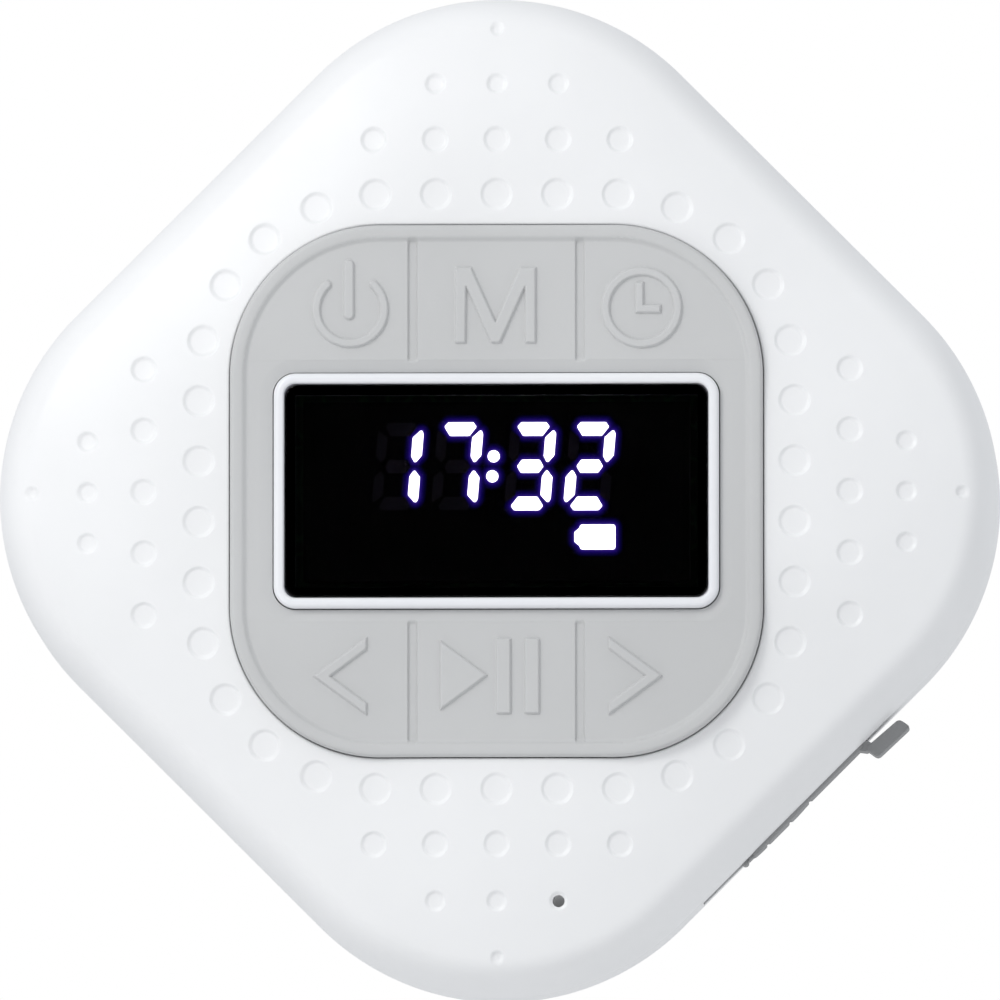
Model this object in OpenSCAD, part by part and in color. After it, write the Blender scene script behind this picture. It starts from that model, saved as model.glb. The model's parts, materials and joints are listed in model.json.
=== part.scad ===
// Shower speaker: a rounded diamond housing with a rubber keypad round a clock display,
// on a suction cup that holds it to a smooth wall.
// Every piece is drawn with x to the right, y up and z out of the wall, z = 0 being the wall.
// The whole model is then stood upright, so that the wall is the XZ plane and the face looks along -Y.

/* [Housing] */
// Width of the housing across its flat sides
housing_width = 120; // [80:0.1:180]
// Radius of the four tips
tip_radius = 36; // [25:0.1:60]
// Wall of the two shells
wall = 2.2; // [1.5:0.1:4]
// Height of the back of the housing above the wall of the room
back_z = 12; // [8:0.5:20]
// Height of the seam between the two shells
seam_z = 33; // [28:0.5:40]
// Height of the face
face_z = 52; // [45:0.5:60]
// How far in from the side the rounded edge of the back reaches
back_round_in = 14; // [6:0.5:20]
// How high the rounded edge of the back is
back_round_up = 10; // [4:0.5:14]
// How far in from the side the tight edge of the front reaches
rim_round_in = 5; // [2:0.5:10]
// How high the tight edge of the front is
rim_round_up = 12; // [6:0.5:14]
// How far in from the side the gentle dome of the face reaches
dome_in = 30; // [15:0.5:36]
// How high the gentle dome is
dome_up = 5; // [1:0.5:8]

/* [Dimples] */
// Number of dimples in the ring round the keypad
ring_count = 34; // [12:1:60]
// Distance from the centre to the straight runs of the ring
ring_half = 41.6; // [38:0.1:46]
// Radius of the ring's corners
ring_radius = 26; // [15:0.5:40]
// Diameter of a ring dimple
ring_dimple_d = 4.7; // [2:0.1:6]
// Depth of a dimple at its middle
dimple_depth = 0.55; // [0.2:0.05:1]
// Diameter of the microphone hole
mic_hole_d = 1.7; // [0.8:0.1:3]

/* [Keypad] */
// Distance from the centre to the keypad's straight sides
keypad_half = 37.2; // [30:0.1:42]
// Radius of the keypad's corners
keypad_radius = 21; // [10:0.5:30]
// Width of the raised rim round the keypad
keypad_rim = 1.9; // [1:0.1:3]
// Distance from the centre line to the near edge of each row of keys
row_y = 18.3; // [15:0.1:22]
// Distance from the centre line to the divider beside the middle key
divider_x = 11; // [8:0.1:15]
// Width of a divider
divider_w = 1.4; // [0.5:0.1:2]
// Gap round each key
key_gap = 0.2; // [0.1:0.05:0.5]
// How far a key goes in
key_travel = 0.8; // [0.3:0.1:1.2]
// Height of the signs above the keys
sign_up = 0.35; // [0.1:0.05:0.8]
// Width of the strokes of the signs
sign_stroke = 1.1; // [0.6:0.1:2]

/* [Display] */
// Width of the bezel
bezel_w = 62.2; // [40:0.1:66]
// Height of the bezel
bezel_h = 32.9; // [20:0.1:35]
// Corner radius of the bezel
bezel_radius = 3.1; // [1:0.1:6]
// Width of the visible ring of the bezel
bezel_ring = 1.5; // [0.8:0.1:3]
// Height of a digit
digit_h = 12.2; // [8:0.1:16]
// Width of a digit
digit_w = 6.4; // [4:0.1:8]
// Width of the level bars of a digit
level_bar_w = 1.85; // [0.8:0.05:2.5]
// Width of the upright bars of a digit
side_bar_w = 1.45; // [0.8:0.05:2.5]
// Slant of the digits
digit_slant = 4.8; // [0:0.1:12]

/* [Port flap] */
// Length of the flap along the side
flap_length = 22.8; // [15:0.1:30]
// Width of the flap
flap_width = 7.8; // [6:0.1:10]
// How far the middle of the flap is from the middle of the side
flap_centre = 0.9; // [-5:0.1:5]
// Thickness of the flap
flap_thick = 2.3; // [1.5:0.1:3]
// How far the pull tab reaches past the flap
tab_reach = 5.9; // [3:0.1:8]
// Inside diameter of the audio socket
aux_bore_d = 3.6; // [3.5:0.1:3.8]

/* [Speaker and cup] */
// Diameter of the suction cup
cup_d = 44; // [30:1:70]
// Diameter of the grille opening in the back
grille_d = 44; // [36:1:50]
// Diameter of the holes of the grille
grille_hole_d = 2; // [1:0.1:3]
// Height of the loudspeaker's mounting flange
driver_z = 19.2; // [18:0.1:22]

/* [Hidden] */
half = housing_width / 2;
tip_centre = half - tip_radius;
rim_z = face_z - dome_up - rim_round_up;
floor_z = back_z + wall;
shelf_z = 50;
frame_floor_z = shelf_z + 0.8;
divider_z = 51.9;
key_face_z = 52.5;
keypad_top_z = 53.1;
keypad_board_z = 44;
board_thick = 1.6;
main_board_z = 29.8;
lens_z = 51.2;
lens_thick = 1.7;
bezel_top_z = 53.6;
module_front_z = 50.8;
flap_outer = half + 0.4;
flap_inner = flap_outer - flap_thick;
flap_z = 27.5;
hinge_u = half + 0.05;
hinge_v = -11.6;
port_face = 57.1;
aux_v = 6;
aux_z = 27.3;
usb_v = -4.6;
usb_z = 28.4;
cell_u = -42;
cell_z = 24.1;
cell_r = 9.1;
cell_length = 49;
main_board_screw_at = [[-25, 38], [-25, -38], [46, 30], [46, -30]];
mic_at = [8.6, -57.2];
cup_stem_r = 4;
knob_r = 5.2;
knob_z = 16.6;
round_steps = 10;
$fn = 48;

function unit(v) = v / norm(v);

// Heights of the outside of the front at a distance in from the side.
function rim_rise(d) = let(t = 1 - min(d / rim_round_in, 1)) rim_round_up * sqrt(1 - t * t);
function dome_rise(d) = let(t = 1 - min(d / dome_in, 1)) dome_up * (1 - t * t);
function front_z(d) = rim_z + rim_rise(max(d, 0)) + dome_rise(max(d, 0));

// Height of the outside of the back at a distance in from the side.
function back_rise(d, reach, up) = let(t = 1 - min(d / reach, 1)) up * (1 - sqrt(1 - t * t));

// Distance of a point of the face, given as [x, y], in from the side of the housing.
function in_side_axes(p) = [(p[0] - p[1]) / sqrt(2), (p[0] + p[1]) / sqrt(2)];
function inset(p) = let(q = in_side_axes(p), a = abs(q[0]) - tip_centre, b = abs(q[1]) - tip_centre)
    a > 0 && b > 0 ? tip_radius - norm([a, b]) : tip_radius - max(a, b);
function skin_z(p) = front_z(inset(p));
function skin_slope(p, way) = (skin_z(p + way * 0.05) - skin_z(p - way * 0.05)) / 0.1;
function skin_normal(p) = unit([-skin_slope(p, [1, 0]), -skin_slope(p, [0, 1]), 1]);

// A point on a rounded square, a quarter turn of it at a time, from the middle of the top.
function quarter_length(h, r) = 2 * (h - r) + r * PI / 2;
function quarter_point(s, h, r) = let(run = h - r, turn = (s - run) / r * 180 / PI)
    s < run ? [s, h]
    : s < run + r * PI / 2 ? [run + r * sin(turn), run + r * cos(turn)]
    : [h, quarter_length(h, r) - s];
function turned(p, quarters) = quarters == 0 ? p : turned([p[1], -p[0]], quarters - 1);
function ring_point(s, h, r) = let(q = floor(s / quarter_length(h, r)))
    turned(quarter_point(s - q * quarter_length(h, r), h, r), q);

shell_screw_at = [for (q = [0:3]) turned([0, 51], q)];
keypad_screw_at = [for (q = [0:3]) turned([0, 37], q)];

// Rows of dimples on each tip: [distance from the centre, how many, spacing, diameter].
function tip_rows(quarter) = [
    [49.3, 5, 8.6, 3.9],
    [57.2, 3, quarter % 2 == 0 ? 8.6 : 7.1, 3.1],
    [65, 1, 0, 2.1]];
ring_dimples = [for (i = [0:ring_count - 1])
    [ring_point(i * 4 * quarter_length(ring_half, ring_radius) / ring_count, ring_half, ring_radius),
        ring_dimple_d]];
tip_dimples = [for (q = [0:3], row = tip_rows(q), i = [0:row[1] - 1])
    [turned([(i - (row[1] - 1) / 2) * row[2], row[0]], q), row[3]]];
dimples = [for (d = concat(ring_dimples, tip_dimples)) if (norm(d[0] - mic_at) > 1) d];

// Stands a piece upright, with its front along -Y.
module upright() {
    rotate([90, 0, 0])
        children();
}

// Turns a piece so that its x runs out through the lower right side and its y up along it.
module side_axes() {
    rotate([0, 0, -45])
        children();
}

module rounded_rect(w, h, r) {
    for (x = [-1, 1], y = [-1, 1])
        translate([x * (w / 2 - r), y * (h / 2 - r)])
            circle(r);
    square([w - 2 * r, h], center = true);
    square([w, h - 2 * r], center = true);
}

module slab(w, h, r, low, high) {
    translate([0, 0, low])
        linear_extrude(high - low)
            rounded_rect(w, h, r);
}

module disc(r, low, high) {
    translate([0, 0, low])
        cylinder(r = r, h = high - low);
}

module ring(outer, inner, low, high) {
    difference() {
        disc(outer, low, high);
        disc(inner, low - 1, high + 1);
    }
}

module block(low, high) {
    translate(low)
        cube(high - low);
}

// A straight round rod between two points.
module rod(from, to, r) {
    way = to - from;
    translate(from)
        rotate([0, acos(way[2] / norm(way)), atan2(way[1], way[0])])
            cylinder(r = r, h = norm(way), $fn = 16);
}

// A wire through several points, with bends a little thicker than the wire.
module wire(points, r) {
    for (i = [1:len(points) - 1])
        rod(points[i - 1], points[i], r);
    for (i = [1:len(points) - 2])
        translate(points[i])
            sphere(1.12 * r, $fn = 24);
}

// A section swept round the housing. The section is a list of [distance in from the side, height].
module swept(h, r, section) {
    side_axes()
        for (turn = [0:90:270])
            rotate(turn) {
                translate([h - r, h - r, 0])
                    rotate_extrude(angle = 90, $fn = 96)
                        polygon([for (p = section) [r - p[0], p[1]]]);
                translate([h, h - r, 0])
                    rotate([90, 0, 0])
                        linear_extrude(2 * (h - r))
                            polygon([for (p = section) [-p[0], p[1]]]);
            }
}

// A solid of that shape, filled to its middle between two heights.
module filled(h, r, edge, low, high) {
    swept(h, r, concat(edge, [[r, high], [r, low]]));
    side_axes()
        block([r - h, r - h, low], [h - r, h - r, high]);
}

// ---------------------------------------------------------------- shells

front_edge = concat([[0, seam_z]],
    [for (i = [0:round_steps]) let(d = rim_round_in * (1 - cos(90 * i / round_steps))) [d, front_z(d)]],
    [for (i = [1:5]) let(d = rim_round_in + (dome_in - rim_round_in) * i / 5) [d, front_z(d)]]);
front_inside_edge = concat([[0, seam_z - 1]],
    [for (i = [0:4]) let(d = rim_round_in * (1 - cos(90 * i / 4))) [d, front_z(d) - wall]],
    [[(rim_round_in + dome_in) / 2, front_z((rim_round_in + dome_in) / 2) - wall],
        [dome_in, face_z - wall]]);
back_edge = concat(
    [for (i = [0:round_steps]) let(d = back_round_in * sin(90 * (1 - i / round_steps)))
        [d, back_z + back_rise(d, back_round_in, back_round_up)]],
    [[0, seam_z]]);
back_inside_edge = concat(
    [for (i = [0:5]) let(d = 12 * sin(90 * (1 - i / 5))) [d, floor_z + back_rise(d, 12, 8)]],
    [[0, seam_z + 1]]);

module boss(at, r, low, high) {
    translate(at)
        cylinder(r = r, h = high - low);
}

module dimple(at, d) {
    ball_r = (d * d / 4 + dimple_depth * dimple_depth) / (2 * dimple_depth);
    translate([at[0], at[1], skin_z(at)] + skin_normal(at) * (ball_r - dimple_depth))
        sphere(ball_r);
}

module front_shell() {
    color([0.96, 0.96, 0.96])
        upright()
            difference() {
                union() {
                    difference() {
                        filled(half, tip_radius, front_edge, seam_z, face_z);
                        filled(half - wall, tip_radius - wall, front_inside_edge, seam_z - 1, face_z - wall);
                    }
                    slab(79, 79, 23, 46.5, shelf_z);
                    for (p = shell_screw_at)
                        boss([p[0], p[1], seam_z], 3.6, seam_z, 49.5);
                    for (p = keypad_screw_at)
                        boss([p[0], p[1], keypad_board_z + board_thick], 2.2, 45.6, 47);
                    boss([mic_at[0], mic_at[1], 43.5], 5.4, 43.5, 48.5);
                }
                slab(69, 69, 18, 30, 60);
                slab(2 * keypad_half + 0.5, 2 * keypad_half + 0.5, keypad_radius + 0.25, shelf_z, 60);
                for (p = shell_screw_at)
                    boss([p[0], p[1], seam_z - 1], 1.4, 0, 12);
                for (p = keypad_screw_at)
                    boss([p[0], p[1], 45], 0.95, 0, 4);
                boss([mic_at[0], mic_at[1], 43], 4.2, 0, 5);
                boss([mic_at[0], mic_at[1], 40], mic_hole_d / 2, 0, 20);
                for (d = dimples)
                    dimple(d[0], d[1]);
            }
}

// Pocket in the side for the flap, its seal and its hinge.
module flap_pocket() {
    low = flap_centre - flap_length / 2;
    high = flap_centre + flap_length / 2;
    block([flap_inner - 0.1, low - 0.2, flap_z - flap_width / 2 - 0.2],
        [half + 2, high + 0.25, flap_z + flap_width / 2 + 0.2]);
    block([port_face + 0.1, low + 0.6, flap_z - 3.4], [flap_inner, high - 0.6, flap_z + 3.4]);
    block([half - 1.2, hinge_v - 0.7, flap_z - 2.7], [half + 2, low, flap_z + 2.7]);
    block([half - 0.9, -19.8, flap_z - 2.7], [half + 2, hinge_v, flap_z + 2.7]);
    translate([55, -17, flap_z])
        rotate([0, 90, 0])
            cylinder(r = 1.25, h = 6);
}

module rear_housing() {
    color([0.95, 0.95, 0.95])
        upright()
            difference() {
                union() {
                    difference() {
                        filled(half, tip_radius, back_edge, back_z, seam_z);
                        filled(half - wall, tip_radius - wall, back_inside_edge, floor_z, seam_z + 1);
                    }
                    disc(30.5, floor_z - 0.5, driver_z - 0.7);
                    for (p = shell_screw_at)
                        boss([p[0], p[1], floor_z - 0.5], 4.4, floor_z - 0.5, seam_z);
                    side_axes() {
                        for (p = main_board_screw_at)
                            boss([p[0], p[1], floor_z - 0.5], 3, floor_z - 0.5, main_board_z);
                        block([55.4, -12.6, 22.6], [58.6, 14.4, 32]);
                        for (x = [-50.4, -34.2], y = [-27.5, 25.5])
                            block([x, y, floor_z - 0.4], [x + 1.8, y + 2, 19]);
                    }
                }
                disc(grille_d / 2, back_z - 1, floor_z + 0.1);
                disc(23.5, floor_z, driver_z + 1);
                for (turn = [45:90:315])
                    rotate(turn)
                        boss([26.5, 0, floor_z + 0.8], 1, 0, 6);
                for (p = shell_screw_at) {
                    boss([p[0], p[1], back_z - 1], 3.05, 0, 15);
                    boss([p[0], p[1], back_z], 1.5, 0, 30);
                }
                side_axes() {
                    for (p = main_board_screw_at)
                        boss([p[0], p[1], 20], 1.1, 0, 12);
                    flap_pocket();
                    translate([50, aux_v, aux_z])
                        rotate([0, 90, 0])
                            cylinder(r = 3.1, h = 8);
                    block([50, usb_v - 4.05, usb_z - 1.7], [58, usb_v + 4.05, usb_z + 1.7]);
                }
            }
}

module shell_gasket() {
    color([0.25, 0.25, 0.26])
        upright()
            swept(half - wall, tip_radius - wall,
                [[0.12, 32.1], [1.2, 32.1], [1.2, 33.9], [0.12, 33.9]]);
}

module shell_screws() {
    color([0.6, 0.6, 0.62])
        upright()
            for (p = shell_screw_at)
                translate([p[0], p[1], 0])
                    difference() {
                        union() {
                            disc(2.8, 23.8, 26);
                            disc(1.35, 25, 42);
                        }
                        block([-1.9, -0.3, 23], [1.9, 0.3, 24.6]);
                        block([-0.3, -1.9, 23], [0.3, 1.9, 24.6]);
                    }
}

module screw_plugs() {
    color([0.72, 0.73, 0.74])
        upright()
            for (p = shell_screw_at)
                boss([p[0], p[1], back_z + 0.2], 3, 0, 4);
}

// ---------------------------------------------------------------- wall cup and grille

module suction_cup() {
    cup_r = cup_d / 2;
    color([0.75, 0.77, 0.78])
        upright()
            union() {
                rotate_extrude($fn = 96)
                    polygon([[0, 3.4], [8, 3.1], [13, 2.2], [16, 0.9], [17, 0], [cup_r, 0], [cup_r, 0.7],
                        [cup_r - 1.6, 1.6], [15, 4.3], [9, 6.6], [6.4, 7.4], [6.4, 12.1],
                        [cup_stem_r, 12.1], [cup_stem_r, knob_z], [knob_r, knob_z],
                        [knob_r, knob_z + 0.7], [3.6, knob_z + 1.7], [0, knob_z + 1.7]]);
                block([-3, -cup_r - 2.5, 0.3], [3, 1.5 - cup_r, 1.3]);
                translate([0, -cup_r - 2.5, 0.3])
                    cylinder(r = 3, h = 1);
            }
}

// Holes of the grille: rings of [radius, how many].
grille_rings = [[9.2, 14], [12.4, 20], [15.6, 26], [18.8, 32]];

module speaker_grille() {
    color([0.66, 0.67, 0.68])
        upright()
            difference() {
                union() {
                    disc(grille_d / 2 - 0.1, back_z + 0.4, floor_z + 0.2);
                    disc(23.4, floor_z, floor_z + 1);
                    disc(7, back_z + 0.4, knob_z - 0.1);
                }
                disc(cup_stem_r + 0.06, back_z - 1, knob_z + 1);
                for (r = grille_rings, i = [0:r[1] - 1])
                    rotate(i * 360 / r[1])
                        boss([r[0], 0, back_z - 1], grille_hole_d / 2, 0, 8, $fn = 16);
            }
}

module grille_mesh() {
    color([0.12, 0.12, 0.13])
        upright()
            ring(23.3, 7.3, floor_z + 1, floor_z + 1.3);
}

// ---------------------------------------------------------------- keypad

key_half = keypad_half - keypad_rim;
key_radius = keypad_radius - keypad_rim;
divider_out = divider_x + divider_w;

// Where each key lies: [low x, high x, low y, high y], to the inside of the rim.
cell_left = [-60, -divider_out];
cell_middle = [-divider_x, divider_x];
cell_right = [divider_out, 60];
row_top = [row_y, 60];
row_bottom = [-60, -row_y];

// The flat shape of a cell, made smaller all round by a gap.
module cell_shape(across, up, gap) {
    intersection() {
        rounded_rect(2 * (key_half - gap), 2 * (key_half - gap), key_radius - gap);
        translate([across[0] + gap, up[0] + gap])
            square([across[1] - across[0] - 2 * gap, up[1] - up[0] - 2 * gap]);
    }
}

// Where the stems of the keys are.
key_columns = [-21, 0, 21];
key_row_at = 24.8;

module keypad_frame() {
    color([0.78, 0.79, 0.79])
        upright()
            difference() {
                union() {
                    slab(2 * keypad_half, 2 * keypad_half, keypad_radius, shelf_z, divider_z);
                    difference() {
                        slab(2 * keypad_half, 2 * keypad_half, keypad_radius, shelf_z, keypad_top_z);
                        slab(2 * key_half, 2 * key_half, key_radius, shelf_z - 1, 60);
                    }
                    intersection() {
                        slab(2 * key_half + 1, 2 * key_half + 1, key_radius + 0.5, shelf_z, key_face_z - 0.1);
                        block([-40, -row_y, shelf_z], [40, row_y, 60]);
                    }
                }
                for (across = [cell_left, cell_middle, cell_right], up = [row_top, row_bottom])
                    translate([0, 0, frame_floor_z])
                        linear_extrude(10)
                            cell_shape(across, up, 0);
                for (x = key_columns, y = [-key_row_at, key_row_at])
                    translate([x, y, 0])
                        slab(11.4, 7.8, 1.7, shelf_z - 1, 60);
                slab(bezel_w + 0.3, bezel_h + 0.3, bezel_radius + 0.15, shelf_z - 1, 60);
            }
}

// A key: its face in its cell, its stem through the frame, and the lip that holds it in.
module key_body(across, up, column, row) {
    translate([0, 0, frame_floor_z + key_travel + 0.05])
        linear_extrude(key_face_z - frame_floor_z - key_travel - 0.05)
            cell_shape(across, up, key_gap);
    translate([key_columns[column], row * key_row_at, 0]) {
        slab(11, 7.4, 1.5, 47, 52);
        slab(13.2, 9.4, 2, 48.9, shelf_z - 0.05);
    }
}

module key(across, up, column, row) {
    color([0.78, 0.79, 0.79])
        upright() {
            key_body(across, up, column, row);
            translate([0, 0, key_face_z - 0.2])
                linear_extrude(sign_up + 0.2)
                    children();
        }
}

// A stroke between two points, with square ends.
module stroke(from, to, w = sign_stroke) {
    way = to - from;
    translate(from)
        rotate(atan2(way[1], way[0]))
            translate([-w / 2, -w / 2])
                square([norm(way) + w, w]);
}

module loop(r, w) {
    difference() {
        circle(r);
        circle(r - w);
    }
}

// Power sign: a ring open at the top, with a bar in the gap.
module key_power() {
    key(cell_left, row_top, 0, 1)
        translate([-20.2, 25.2]) {
            difference() {
                loop(5.3, sign_stroke);
                polygon([[0, 0], [-4.8, 6], [4.8, 6]]);
            }
            stroke([-0.2, -0.8], [-0.2, 6.4], 1.4);
        }
}

module key_mode() {
    key(cell_middle, row_top, 1, 1)
        translate([-0.1, 25.9])
            polygon([[-5.6, -5.2], [-4.2, -5.2], [-4.1, 2.6], [-0.6, -5.2], [0.6, -5.2], [4.1, 2.6],
                [4.2, -5.2], [5.6, -5.2], [5.6, 5.3], [3.4, 5.3], [0, -2.3], [-3.4, 5.3], [-5.6, 5.3]]);
}

// Clock sign: a ring with two hands.
module key_clock() {
    key(cell_right, row_top, 2, 1)
        translate([20.3, 25.6]) {
            loop(5.6, 1.1);
            stroke([-0.3, -0.2], [-0.3, 3]);
            stroke([-0.3, -0.2], [2.1, -0.2]);
        }
}

// An arrowhead that points along -x, with its ends cut upright.
module arrowhead() {
    polygon([[0, 0], [7.4, -5.4], [7.4, -3.8], [2.3, 0], [7.4, 3.8], [7.4, 5.4]]);
}

module key_previous() {
    key(cell_left, row_bottom, 0, -1)
        translate([-25.5, -25.9])
            arrowhead();
}

// Play and pause sign: a triangle and two bars.
module key_play() {
    key(cell_middle, row_bottom, 1, -1)
        translate([0, -25.9]) {
            polygon([[-7.8, 4.9], [-7.8, -4.7], [-1.3, 0.1]]);
            for (x = [0, 4])
                translate([x, -5.2])
                    square([2, 10.5]);
        }
}

module key_next() {
    key(cell_right, row_bottom, 2, -1)
        translate([23.1, -25.9])
            rotate(180)
                arrowhead();
}

// Carbon pill under a key's stem.
module pill(column, row) {
    color([0.15, 0.15, 0.16])
        upright()
            boss([key_columns[column], row * key_row_at, 46.45], 2.5, 0, 0.55);
}

module pill_power() {
    pill(0, 1);
}

module pill_mode() {
    pill(1, 1);
}

module pill_clock() {
    pill(2, 1);
}

module pill_previous() {
    pill(0, -1);
}

module pill_play() {
    pill(1, -1);
}

module pill_next() {
    pill(2, -1);
}

// ---------------------------------------------------------------- display

module display_bezel() {
    color([0.95, 0.95, 0.96])
        upright()
            difference() {
                union() {
                    slab(bezel_w, bezel_h, bezel_radius, 49, bezel_top_z);
                    slab(bezel_w + 3, bezel_h + 1.6, bezel_radius, 49, shelf_z);
                }
                slab(bezel_w - 2 * bezel_ring, bezel_h - 2 * bezel_ring, 2, lens_z, 60);
                slab(56, 27, 1.5, 40, 60);
            }
}

module display_lens() {
    color([0.05, 0.05, 0.07, 0.6])
        upright()
            slab(bezel_w - 2 * bezel_ring - 0.1, bezel_h - 2 * bezel_ring - 0.1, 1.95,
                lens_z, lens_z + lens_thick);
}

module display_module() {
    color([0.04, 0.04, 0.05])
        upright()
            slab(54, 25, 0.5, keypad_board_z + board_thick, module_front_z);
}

// The three shapes of bar in a digit, drawn for its top, its middle and its upper right.
digit_x = digit_w / 2;
digit_y = digit_h / 2;
top_bar = [[1 - digit_x, digit_y - 0.5], [1.8 - digit_x, digit_y - level_bar_w],
    [digit_x - 1.8, digit_y - level_bar_w], [digit_x - 1, digit_y - 0.5], [digit_x - 1.35, digit_y],
    [1.35 - digit_x, digit_y]];
middle_bar = [[1.4 - digit_x, 0], [1.9 - digit_x, -level_bar_w / 2], [digit_x - 1.9, -level_bar_w / 2],
    [digit_x - 1.4, 0], [digit_x - 1.9, level_bar_w / 2], [1.9 - digit_x, level_bar_w / 2]];
side_bar = [[digit_x - side_bar_w, 1.3], [digit_x - 0.9, 0.6], [digit_x, 1.45], [digit_x, digit_y - 1.4],
    [digit_x - 0.2, digit_y - 1.1], [digit_x - side_bar_w, digit_y - 2.05]];

// The bars of a digit are numbered from the top: top, upper left, upper right, middle,
// lower left, lower right, bottom.
module digit_bar(n) {
    left = n == 1 || n == 4 ? 1 : 0;
    lower = n == 4 || n == 5 || n == 6 ? 1 : 0;
    multmatrix([[1, tan(digit_slant), 0, 0], [0, 1, 0, 0], [0, 0, 1, 0], [0, 0, 0, 1]])
        mirror([left, 0])
            mirror([0, lower])
                polygon(n == 0 || n == 6 ? top_bar : n == 3 ? middle_bar : side_bar);
}

// What each place shows: [x of its middle, lit bars].
places = [
    [-13.8, [2, 5]],
    [-5.5, [0, 2, 5]],
    [4.7, [0, 2, 3, 5, 6]],
    [13, [0, 2, 3, 4, 6]]];
digits_y = 3.5;

function holds(list, n) = len([for (i = list) if (i == n) i]) > 0;

module segments(lit) {
    for (p = places, n = [0:6])
        if (holds(p[1], n) == lit)
            translate([p[0], digits_y])
                digit_bar(n);
}

module lit_segments() {
    color([0.95, 0.95, 1])
        upright()
            translate([0, 0, module_front_z])
                linear_extrude(0.2) {
                    segments(true);
                    translate([-0.4, digits_y + 1.4])
                        circle(0.85);
                    translate([-0.6, digits_y - 1.4])
                        circle(0.85);
                }
}

module unlit_segments() {
    color([0.12, 0.11, 0.14])
        upright()
            translate([0, 0, module_front_z])
                linear_extrude(0.2)
                    segments(false);
}

// Battery sign: a block with a nub on its left end.
module battery_indicator() {
    color([0.95, 0.95, 1])
        upright()
            translate([14.1, -6.4, 0]) {
                slab(5, 3.5, 0.4, module_front_z, module_front_z + 0.2);
                translate([-2.8, 0, 0])
                    slab(1.4, 1.7, 0.3, module_front_z, module_front_z + 0.2);
            }
}

module display_pins() {
    color([0.8, 0.72, 0.4])
        upright()
            for (i = [0:7], y = [-10, 10])
                translate([(i - 3.5) * 2.54, y, 0])
                    block([-0.25, -0.25, 42.6], [0.25, 0.25, keypad_board_z]);
}

// ---------------------------------------------------------------- boards

module keypad_board() {
    color([0.1, 0.32, 0.18])
        upright()
            difference() {
                slab(78, 78, 22, keypad_board_z, keypad_board_z + board_thick);
                for (p = keypad_screw_at)
                    boss([p[0], p[1], 40], 1.1, 0, 10);
            }
}

// Gold pads that each key's pill bridges.
module contact_pads() {
    color([0.85, 0.7, 0.35])
        upright()
            for (x = key_columns, y = [-key_row_at, key_row_at], side = [-1, 1])
                translate([x + side * 1.35, y, 0])
                    slab(2.2, 4.4, 0.5, keypad_board_z + board_thick, keypad_board_z + board_thick + 0.04);
}

module small_screw(at, head_z, length) {
    translate([at[0], at[1], 0]) {
        disc(1.9, head_z - 1.3, head_z);
        disc(0.9, head_z, head_z + length);
    }
}

module keypad_board_screws() {
    color([0.6, 0.6, 0.62])
        upright()
            for (p = keypad_screw_at)
                small_screw(p, keypad_board_z, 4.6);
}

module main_board() {
    color([0.1, 0.32, 0.18])
        upright()
            side_axes()
                difference() {
                    translate([0, 0, main_board_z])
                        linear_extrude(board_thick)
                            polygon([[-30, -44], [38, -44], [55, -28], [55, 28], [38, 44], [-30, 44]]);
                    disc(17, 20, 40);
                    for (p = main_board_screw_at)
                        boss([p[0], p[1], 20], 1.15, 0, 20);
                    for (p = shell_screw_at)
                        let(q = in_side_axes(p))
                            boss([q[0], q[1], 20], 4.8, 0, 20);
                }
}

module main_board_screws() {
    top = main_board_z + board_thick;
    color([0.6, 0.6, 0.62])
        upright()
            side_axes()
                for (p = main_board_screw_at)
                    translate([p[0], p[1], 0]) {
                        disc(2.1, top, top + 1.4);
                        disc(1, top - 8, top);
                    }
}

module on_main_board() {
    color([0.15, 0.15, 0.16])
        upright()
            side_axes()
                translate([0, 0, main_board_z + board_thick])
                    children();
}

module bluetooth_module() {
    on_main_board() {
        block([-22, 20, 0], [-4, 36, 0.8]);
        block([-20, 21, 0.8], [-10, 35, 2.8]);
    }
}

module amplifier_chip() {
    on_main_board()
        block([22, -30, 0], [29, -23, 1.4]);
}

module charger_chip() {
    on_main_board()
        block([38, -14, 0], [43, -10, 1.3]);
}

module board_capacitors() {
    on_main_board()
        for (x = [2, 10])
            translate([x, -34, 0])
                cylinder(r = 3.1, h = 7);
}

// Sockets for the battery, the loudspeaker and both ends of the ribbon.
module board_sockets() {
    color([0.9, 0.89, 0.84])
        upright()
            side_axes() {
                block([-28.5, -16, 31.4], [-23, -9, 36]);
                block([14, 33, 31.4], [21, 38, 36]);
                block([28, -6, 31.4], [32, 6, 33.6]);
                block([28, -6, 42], [32, 6, keypad_board_z]);
            }
}

module ribbon_cable() {
    color([0.85, 0.8, 0.55])
        upright()
            side_axes()
                block([29.8, -5, 33.6], [30.1, 5, 42]);
}

// ---------------------------------------------------------------- ports and flap

module usb_shell() {
    color([0.75, 0.76, 0.78])
        upright()
            side_axes()
                difference() {
                    block([51.4, usb_v - 3.75, usb_z - 1.4], [port_face, usb_v + 3.75, usb_z + 1.4]);
                    block([52.4, usb_v - 3.45, usb_z - 1.1], [port_face + 1, usb_v + 3.45, usb_z + 1.1]);
                }
}

module usb_tongue() {
    color([0.1, 0.1, 0.1])
        upright()
            side_axes()
                block([52.4, usb_v - 2, usb_z + 0.1], [port_face - 0.9, usb_v + 2, usb_z + 0.7]);
}

module aux_jack() {
    color([0.12, 0.12, 0.13])
        upright()
            side_axes()
                difference() {
                    union() {
                        block([42.6, aux_v - 3.1, aux_z - 2.5], [55, aux_v + 3.1, aux_z + 2.5]);
                        translate([54, aux_v, aux_z])
                            rotate([0, 90, 0])
                                cylinder(r = 2.45, h = port_face - 54);
                    }
                    translate([port_face - 12, aux_v, aux_z])
                        rotate([0, 90, 0])
                            cylinder(r = aux_bore_d / 2, h = 14);
                }
}

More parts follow.
